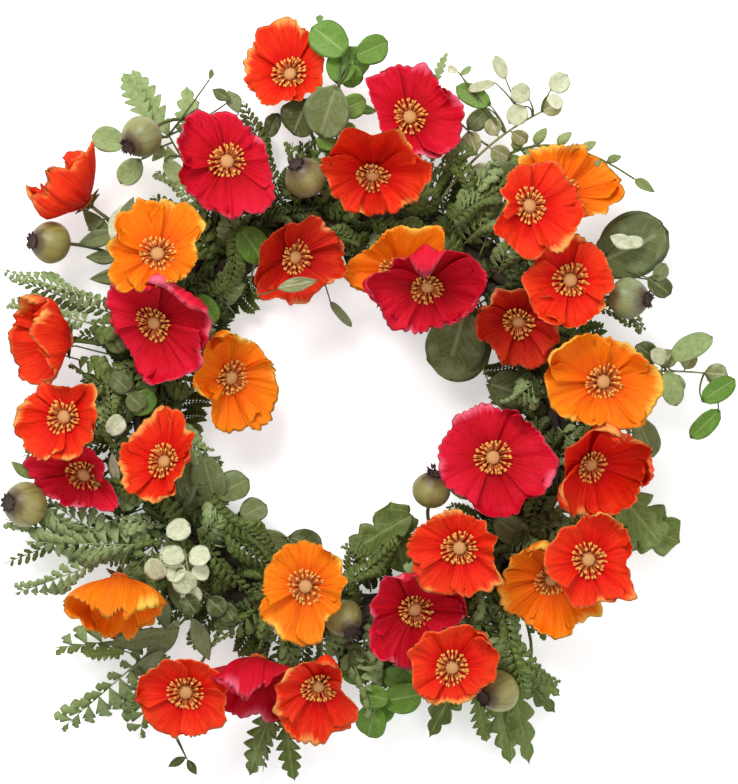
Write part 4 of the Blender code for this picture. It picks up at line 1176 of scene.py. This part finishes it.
def build_filler():
    """Fern fronds that spring from the vines between the blooms and cover them."""
    chance = np.random.RandomState(11)
    shells = [Shell() for quarter in range(4)]
    for number in range(FILLER_FRONDS):
        around = 360 * (number + chance.uniform(-0.4, 0.4)) / FILLER_FRONDS
        outward = number % 4 != 3
        start = ring_core(around) + UP * FILLER_START
        sway = chance.uniform(-26, 26)
        out = chance.uniform(*FILLER_OUTSIDE if outward else FILLER_INSIDE)
        tip = polar(around + sway * (0.6 if outward else 0.4), out, chance.uniform(*FILLER_UP))
        path = bent_path(start, (start + tip) / 2 + UP * chance.uniform(*FILLER_ARCH), tip, 12)
        lean = np.array([chance.uniform(-0.4, 0.4), chance.uniform(-0.4, 0.4), 1.0])
        width, tone = chance.uniform(*FILLER_WIDTH), chance.uniform(0.30, 1.0)
        shell = shells[int(around // 90) % 4]
        add_frond(shell, path, unit(lean), width, 8, number, tone, loose=1.0)
    finish_quarters(shells, "fern_filler")


def build_cover():
    """Small dark fronds that lie along the upper side of the vines and hide them."""
    chance = np.random.RandomState(23)
    shells = [Shell() for quarter in range(4)]
    for number in range(COVER_FRONDS):
        around = 360 * (number + chance.uniform(-0.5, 0.5)) / COVER_FRONDS
        tilt = math.radians(chance.uniform(15, 165))
        out = RING_RADIUS + (VINE_WIDTH / 2) * math.cos(tilt)
        up = VINE_HEIGHT / 2 + (VINE_HEIGHT / 2) * math.sin(tilt)
        heel = polar(around, out, up - COVER_SINK)
        along = chance.choice([-1, 1]) * chance.uniform(7, 13)
        away = math.cos(tilt) * chance.uniform(*COVER_AWAY) + chance.uniform(-COVER_ASIDE, COVER_ASIDE)
        tip = polar(around + along, out + away, up + chance.uniform(*COVER_RISE))
        path = bent_path(heel, (heel + tip) / 2 + UP * chance.uniform(*COVER_ARCH), tip, 7)
        lean = polar(around, 0.7 * math.cos(tilt) + chance.uniform(-0.3, 0.3), 1.0)
        width, tone = chance.uniform(*COVER_WIDTH), chance.uniform(-0.10, 0.35)
        shell = shells[int(around // 90) % 4]
        add_frond(shell, path, unit(lean), width, 7, number, tone, loose=1.0)
    finish_quarters(shells, "ring_cover")


def build_feature_fronds():
    """Feathery fronds that stand out between the blooms."""
    shell = Shell()
    for number, frond in enumerate(FEATURE_FRONDS):
        heel, tip = ends_of(frond, FEATURE_RISE)
        path = bent_path(heel, (heel + tip) / 2 + UP * FEATURE_ARCH, tip, 12)
        lean, width = unit(UP + 0.2 * spread(number, 1)), frond.width / 1000
        add_frond(shell, path, lean, width, frond.pairs, number, frond.tone, 0.04, 0.6)
        root = ring_core(around_of(heel))
        stalk = bent_path(root, (root + heel) / 2 + UP * FROND_STALK_ARCH, heel, 6)
        shell.add(*tube(stalk, FROND_STALK, 5, number, 0.3))
    shell.finish("feature_fronds", LOOKS["fern_leaf"], "fern_leaf")


# Vines
def build_vines():
    """Wound vines within the ring's section, with a few loose tendrils."""
    shell = Shell()
    theta = np.linspace(0, math.tau, STRAND_RINGS, endpoint=False)
    for strand in range(STRANDS):
        outer = strand < OUTER_STRANDS
        radius = VINE_RADIUS + VINE_UNEVEN * spread(strand, 1)
        depth = 0.97 if outer else 0.45
        turns = 2 if strand % 3 else 3
        beside = OUTER_STRANDS if outer else STRANDS - OUTER_STRANDS
        phase = math.tau * strand / beside + 0.3 * spread(strand, 2)
        angle = phase + turns * theta + 0.25 * np.sin(2 * theta + strand)
        inset = depth * (1 - 0.10 * (1 + np.sin(5 * theta + 2 * strand)) / 2)
        out = RING_RADIUS + (VINE_WIDTH / 2 - radius) * inset * np.cos(angle)
        up = VINE_HEIGHT / 2 + (VINE_HEIGHT / 2 - radius) * inset * np.sin(angle)
        up = np.maximum(up, radius + 2 * VINE_LIFT)
        path = np.stack([out * np.cos(theta), out * np.sin(theta), up], axis=1)
        shell.add(*closed_tube(path, radius, 8, strand))
    for number in range(TENDRILS):
        around = 26 * number + 9 * spread(number, 1)
        side = 1 if number % 3 else -1
        path = []
        for step in range(TENDRIL_STEPS + 1):
            share = step / TENDRIL_STEPS
            bulge = TENDRIL_BULGE * math.sin(math.pi * share)
            out = RING_RADIUS + side * (VINE_WIDTH / 2 - TENDRIL_SINK + bulge)
            low, rise, uneven_rise = TENDRIL_UPS
            up = low + rise * share + uneven_rise * spread(number, step)
            path.append(polar(around + 16 * share, out, up))
        shell.add(*tube(path, np.linspace(*TENDRIL_RADII, len(path)), 5, number, 0.5))
    shell.finish("vine_ring_strands", LOOKS["vine"], "vine", "vine_ring")


def closed_tube(path, radius, sides, seed):
    """A vine that closes on itself round the ring, with an uneven, knotty bark."""
    count = len(path)
    ahead = unit_rows(np.roll(path, -1, axis=0) - np.roll(path, 1, axis=0))
    across = unit_rows(np.cross(ahead, UP))
    turn = circle(sides)[None, :]
    theta = circle(count)[:, None]
    knots = 0.10 * np.sin(23 * theta + seed) + 0.06 * np.sin(41 * theta + 2 * turn + 3 * seed)
    radii = radius * (1 + knots * 0.8 + 0.06 * np.cos(3 * turn + 9 * theta))
    points = rings_round(path, ahead, across, radii, turn)
    points[..., 2] = np.maximum(points[..., 2], VINE_LIFT)
    index = np.arange(count * sides).reshape(count, sides)
    index = np.concatenate([index, index[:, :1]], axis=1)
    index = np.concatenate([index, index[:1]], axis=0)
    marks = grid_marks(theta * 60 / math.tau, turn / math.tau, seed, spread(seed, 4) * 0.5 + 0.5)
    return points, [grid_quads(index, flip=True)], marks


# Materials
class Nodes:
    """A material whose nodes are added one by one, and wired by name."""

    def __init__(self, name):
        self.look = bpy.data.materials.new(name)
        self.look.use_nodes = True
        self.tree = self.look.node_tree
        self.shader = self.tree.nodes["Principled BSDF"]

    def feed(self, socket, value):
        if isinstance(value, bpy.types.NodeSocket):
            self.tree.links.new(value, socket)
        else:
            socket.default_value = value

    def add(self, kind, inputs, output=0, **settings):
        made = self.tree.nodes.new(kind)
        for key, value in settings.items():
            setattr(made, key, value)
        for key, value in inputs.items():
            self.feed(made.inputs[key], value)
        return made.outputs[output]

    def mark(self, name):
        return self.add("ShaderNodeAttribute", {}, 2, attribute_name=name)

    def marks(self):
        return [self.mark(name) for name in MARKS]

    def math(self, operation, first, second=0.0):
        return self.add("ShaderNodeMath", {0: first, 1: second}, operation=operation)

    def plus(self, first, second):
        return self.math("ADD", first, second)

    def times(self, first, second):
        return self.math("MULTIPLY", first, second)

    def ramp(self, value, low, high, most=1.0):
        """0 below low and most above high, smooth between."""
        inputs = {"Value": value, "From Min": low, "From Max": high, "To Max": most}
        return self.add("ShaderNodeMapRange", inputs, interpolation_type="SMOOTHSTEP")

    def noise(self, place, scale, detail=4.0, rough=0.55):
        inputs = {"Vector": place, "Scale": scale, "Detail": detail, "Roughness": rough}
        return self.add("ShaderNodeTexNoise", inputs)

    def place(self, x, y, z):
        return self.add("ShaderNodeCombineXYZ", {0: x, 1: y, 2: z})

    def blend(self, share, first, second):
        made = self.tree.nodes.new("ShaderNodeMix")
        made.data_type = "RGBA"
        self.feed(made.inputs[0], share)
        self.feed(made.inputs[6], first)
        self.feed(made.inputs[7], second)
        return made.outputs[2]

    def bump(self, height, strength, distance, under=None):
        inputs = {"Height": height, "Strength": strength, "Distance": distance}
        if under is not None:
            inputs["Normal"] = under
        return self.add("ShaderNodeBump", inputs)

    def spots(self):
        return self.add("ShaderNodeTexCoord", {}, 3)

    def done(self, colour, rough, normal=None, **sockets):
        self.feed(self.shader.inputs["Base Color"], colour)
        self.feed(self.shader.inputs["Roughness"], rough)
        if normal is not None:
            self.feed(self.shader.inputs["Normal"], normal)
        for key, value in sockets.items():
            self.shader.inputs[key.replace("_", " ")].default_value = value
        return self.look


def tint(red, green, blue):
    return (red, green, blue, 1.0)


# The first colour is both the painted shade at the centre of the cup and the colour of the dark streaks;
# the rim colour is a painted highlight.
def petal_look(name, shade_and_streak_colour, body, light, rim):
    """Pressed satin fabric: radial creases and streaks, a fine weave, painted shade darkening the centre
    of the cup, a lighter tint towards the rim that is partly painted sheen, and painted highlights in
    pale patches along the rim and on its thin edge.
    """
    n = Nodes(name)
    along, across, seed, pale = n.marks()
    spots = n.spots()
    streaks = n.noise(n.place(n.times(across, 5.0), along, seed), 3.2, 6.0, 0.62)
    creases = n.noise(n.place(n.times(across, 13.0), n.times(along, 1.6), seed), 2.4, 5.0)
    cloud = n.noise(spots, 38.0, 3.0)
    # Lighter towards the rim: partly the fabric's own colour, partly painted satin sheen.
    colour = n.blend(n.ramp(n.plus(along, n.times(streaks, 0.5)), 0.55, 1.30), body, light)
    colour = n.blend(n.ramp(cloud, 0.45, 0.70, 0.4), colour, body)
    # Painted shade: the centre of the cup round the stamens is darkened, where shade falls.
    painted_centre_shade = n.math("SUBTRACT", 1.0, n.ramp(along, 0.14, 0.60))
    colour = n.blend(n.times(painted_centre_shade, 0.65), colour, shade_and_streak_colour)
    colour = n.blend(n.ramp(streaks, 0.56, 0.36, 0.35), colour, shade_and_streak_colour)
    # Painted highlights: pale patches near the rim and on turned-up folds, and a thin pale edge, all in
    # the rim colour, where light catches the fabric.
    painted_highlight = n.ramp(n.plus(pale, n.times(streaks, 0.7)), 0.72, 1.30)
    flank = n.ramp(n.math("ABSOLUTE", across), 1.20, 0.85)
    edge = n.times(n.ramp(along, 0.93, 1.0, 0.45), flank)
    colour = n.blend(n.math("MAXIMUM", painted_highlight, edge), colour, rim)
    threads = {"Vector": spots, "Scale": 620.0, "Distortion": 0.6}
    weave = n.plus(*[
        n.add("ShaderNodeTexWave", threads, 1, bands_direction=direction) for direction in "XY"
    ])
    normal = n.bump(n.noise(spots, 120.0, 3.0, 0.6), 0.40, 0.0030)
    normal = n.bump(creases, 0.60, 0.0018, normal)
    normal = n.bump(streaks, 0.30, 0.0012, normal)
    normal = n.bump(weave, 0.06, 0.0001, normal)
    rough = n.plus(n.times(creases, 0.25), 0.42)
    return n.done(colour, rough, normal, Specular_IOR_Level=0.14)


def leaf_look(name, dark, middle, pale, vein, gloss, vein_count=7.0):
    """A moulded or printed leaf: midrib, slanting side veins, mottling and a paler edge."""
    n = Nodes(name)
    along, across, seed, tone = n.marks()
    away = n.math("ABSOLUTE", across)
    colour = n.blend(n.ramp(tone, 0.0, 0.5), dark, middle)
    colour = n.blend(n.ramp(tone, 0.5, 1.0), colour, pale)
    mottle = n.noise(n.spots(), 260.0, 5.0)
    broad = n.noise(n.place(n.times(along, 2.0), across, seed), 1.6, 3.0)
    colour = n.blend(n.ramp(mottle, 0.35, 0.75, 0.35), colour, dark)
    colour = n.blend(n.ramp(broad, 0.45, 0.75, 0.40), colour, pale)
    slanted = n.math("SUBTRACT", n.times(along, vein_count), n.times(away, 2.2))
    side = n.math("SUBTRACT", 0.5, n.math("PINGPONG", slanted, 0.5))
    side = n.times(n.ramp(side, 0.36, 0.50), n.ramp(away, 1.0, 0.2))
    midrib = n.math("SUBTRACT", 1.0, n.ramp(away, 0.02, 0.12))
    veins = n.math("MAXIMUM", n.times(side, 0.6), midrib)
    colour = n.blend(n.times(veins, 0.55), colour, vein)
    colour = n.blend(n.ramp(away, 0.86, 1.0, 0.35), colour, pale)
    normal = n.bump(veins, 0.50, 0.0009)
    normal = n.bump(mottle, 0.22, 0.0006, normal)
    rough = n.plus(n.times(mottle, 0.20), gloss)
    return n.done(colour, rough, normal, Specular_IOR_Level=0.22)


def stamen_look():
    n = Nodes("golden_stamens")
    tone = n.mark("tone")
    speckle = n.noise(n.spots(), 1400.0, 3.0)
    colour = n.blend(n.ramp(tone, 0.1, 0.9), tint(0.62, 0.11, 0.02), tint(0.92, 0.50, 0.10))
    colour = n.blend(n.ramp(speckle, 0.45, 0.75, 0.45), colour, tint(0.80, 0.30, 0.03))
    colour = n.blend(n.ramp(tone, 1.2, 1.6), colour, tint(0.60, 0.30, 0.10))
    colour = n.blend(n.ramp(speckle, 0.50, 0.70, 0.3), colour, tint(0.45, 0.16, 0.03))
    return n.done(colour, 0.62, n.bump(speckle, 0.6, 0.0005))


def pod_look():
    n = Nodes("painted_seed_pod")
    along, across, tone = n.mark("along"), n.mark("across"), n.mark("tone")
    spots = n.spots()
    mottle = n.noise(spots, 190.0, 6.0)
    broad = n.noise(spots, 45.0, 3.0)
    colour = n.blend(n.ramp(tone, 0.0, 0.5), tint(0.20, 0.25, 0.12), tint(0.27, 0.25, 0.06))
    colour = n.blend(n.ramp(tone, 0.5, 1.0), colour, tint(0.20, 0.13, 0.05))
    colour = n.blend(n.ramp(broad, 0.40, 0.65, 0.55), colour, tint(0.36, 0.33, 0.12))
    top = n.ramp(n.plus(along, n.times(mottle, 0.2)), 0.80, 1.02)
    colour = n.blend(top, colour, tint(0.10, 0.06, 0.03))
    streak = n.noise(n.place(n.times(across, 1.4), n.times(along, 0.5), tone), 2.0, 4.0)
    colour = n.blend(n.ramp(streak, 0.50, 0.72, 0.5), colour, tint(0.12, 0.09, 0.03))
    colour = n.blend(n.ramp(mottle, 0.55, 0.80, 0.35), colour, tint(0.12, 0.10, 0.04))
    return n.done(colour, n.plus(n.times(mottle, 0.25), 0.30), n.bump(mottle, 0.35, 0.0010))


def plain_look(name, dark, light, scale, rough, bump, distance):
    """A mottled matt surface, such as bark or a plastic-covered stem."""
    n = Nodes(name)
    along, across, seed, tone = n.marks()
    grain = n.noise(n.place(n.times(along, 2.5), n.times(across, 9.0), seed), scale, 8.0)
    fine = n.noise(n.spots(), 700.0, 5.0)
    colour = n.blend(n.ramp(grain, 0.30, 0.70), dark, light)
    colour = n.blend(n.ramp(tone, 0.3, 1.0, 0.35), colour, light)
    colour = n.blend(n.ramp(fine, 0.4, 0.8, 0.4), colour, dark)
    normal = n.bump(grain, bump, distance)
    normal = n.bump(fine, bump * 0.5, distance * 0.3, normal)
    return n.done(colour, rough, normal)


LOOKS = {
    # Each satin: the colour of the painted shade and dark streaks, the body, a lighter body towards the
    # rim that is partly painted sheen, and the painted rim highlight.
    "scarlet": petal_look("scarlet_satin", tint(0.50, 0.003, 0.001), tint(0.82, 0.008, 0.002),
                          tint(0.88, 0.052, 0.008), tint(0.97, 0.38, 0.09)),
    # A darker copy of the scarlet: partly a darker fabric, partly painted shade for blooms that lie in
    # shadow.
    "dark_shaded_scarlet": petal_look("dark_shaded_scarlet_satin", tint(0.34, 0.002, 0.001), tint(0.56, 0.006, 0.003),
                               tint(0.72, 0.040, 0.008), tint(0.88, 0.30, 0.10)),
    "crimson": petal_look("crimson_satin", tint(0.34, 0.001, 0.005), tint(0.60, 0.001, 0.010),
                          tint(0.72, 0.007, 0.032), tint(0.88, 0.14, 0.22)),
    "orange": petal_look("orange_satin", tint(0.82, 0.09, 0.001), tint(0.92, 0.155, 0.001),
                         tint(0.95, 0.25, 0.004), tint(1.00, 0.56, 0.08)),
    "stamens": stamen_look(),
    "stem": plain_look("stem_green", tint(0.045, 0.060, 0.012), tint(0.14, 0.17, 0.045),
                       3.0, 0.55, 0.3, 0.0005),
    "pod": pod_look(),
    "crown": plain_look("pod_crown_brown", tint(0.020, 0.011, 0.008), tint(0.10, 0.060, 0.045),
                        6.0, 0.75, 0.6, 0.0008),
    "vine": plain_look("vine_bark", tint(0.012, 0.008, 0.005), tint(0.075, 0.050, 0.028),
                       4.0, 0.85, 0.8, 0.0016),
    "fern_leaf": leaf_look("fern_green", tint(0.027, 0.039, 0.004), tint(0.145, 0.200, 0.036),
                           tint(0.37, 0.48, 0.20), tint(0.30, 0.38, 0.12), 0.46),
    "bright_leaf": leaf_look("bright_green", tint(0.045, 0.105, 0.008), tint(0.110, 0.23, 0.022),
                             tint(0.23, 0.40, 0.09), tint(0.30, 0.44, 0.14), 0.34),
    "grey_leaf": leaf_look("grey_green", tint(0.060, 0.072, 0.014), tint(0.17, 0.205, 0.072),
                           tint(0.32, 0.39, 0.22), tint(0.30, 0.35, 0.16), 0.50),
    "silver_leaf": leaf_look("frosted_disc", tint(0.14, 0.14, 0.045), tint(0.30, 0.30, 0.12),
                             tint(0.72, 0.76, 0.52), tint(0.70, 0.70, 0.46), 0.50, 4.0),
}


# The stage, in metres. Each lamp has its place, its size and its power. The camera stands a little to
# the +X and +Y side of the ring's centre.
FLOOR_EDGE = 12.0
FLOOR_DROP = 0.0005
FLOOR_GLOW = 0.42
ROOM_LIGHT = (0.97, 0.98, 1.0, 1.0)
ROOM_STRENGTH = 0.62
LAMPS = (
    ("key_lamp", (-0.5, 1.1, 1.8), 0.8, 30.0),
    ("fill_lamp", (1.2, -0.4, 1.7), 1.4, 8.0),
)
CAMERA_ASIDE = (0.0153, 0.0211)
CAMERA_HEIGHT = 2.38
CAMERA_LENS = 123.5


def build_stage():
    """A pale floor, soft lamps and a camera that looks straight down."""
    mesh = bpy.data.meshes.new("floor")
    corners = ((-1, -1), (1, -1), (1, 1), (-1, 1))
    corners = [(FLOOR_EDGE * x, FLOOR_EDGE * y, -FLOOR_DROP) for x, y in corners]
    mesh.from_pydata(corners, [], [(0, 1, 2, 3)])
    paper = Nodes("pale_floor")
    grain = paper.blend(paper.noise(paper.spots(), 3.0), tint(0.90, 0.90, 0.90), tint(0.93, 0.93, 0.93))
    glow = {"Emission_Color": tint(1, 1, 1), "Emission_Strength": FLOOR_GLOW}
    mesh.materials.append(paper.done(grain, 0.9, **glow))
    floor = bpy.data.objects.new("floor", mesh)
    bpy.context.scene.collection.objects.link(floor)

    world = bpy.data.worlds.new("soft_room")
    world.use_nodes = True
    world.node_tree.nodes["Background"].inputs[0].default_value = ROOM_LIGHT
    world.node_tree.nodes["Background"].inputs[1].default_value = ROOM_STRENGTH
    bpy.context.scene.world = world
    for name, spot, size, power in LAMPS:
        light = bpy.data.lights.new(name, "AREA")
        light.size = size
        light.energy = power
        lamp = bpy.data.objects.new(name, light)
        lamp.location = spot
        x, y, z = unit(np.array(spot))
        lamp.rotation_euler = (math.acos(z), 0, math.atan2(y, x) + math.pi / 2)
        bpy.context.scene.collection.objects.link(lamp)

    lens = bpy.data.cameras.new("camera")
    lens.lens = CAMERA_LENS
    camera = bpy.data.objects.new("camera", lens)
    camera.location = (CENTRE[0] + CAMERA_ASIDE[0], CENTRE[1] + CAMERA_ASIDE[1], CAMERA_HEIGHT)
    bpy.context.scene.collection.objects.link(camera)
    bpy.context.scene.camera = camera
    bpy.context.scene.view_settings.view_transform = "Standard"


build_vines()
build_fringes()
build_filler()
build_cover()
build_feature_fronds()
build_sprays()
build_single_leaves()
build_blooms()
build_pods()
build_stage()
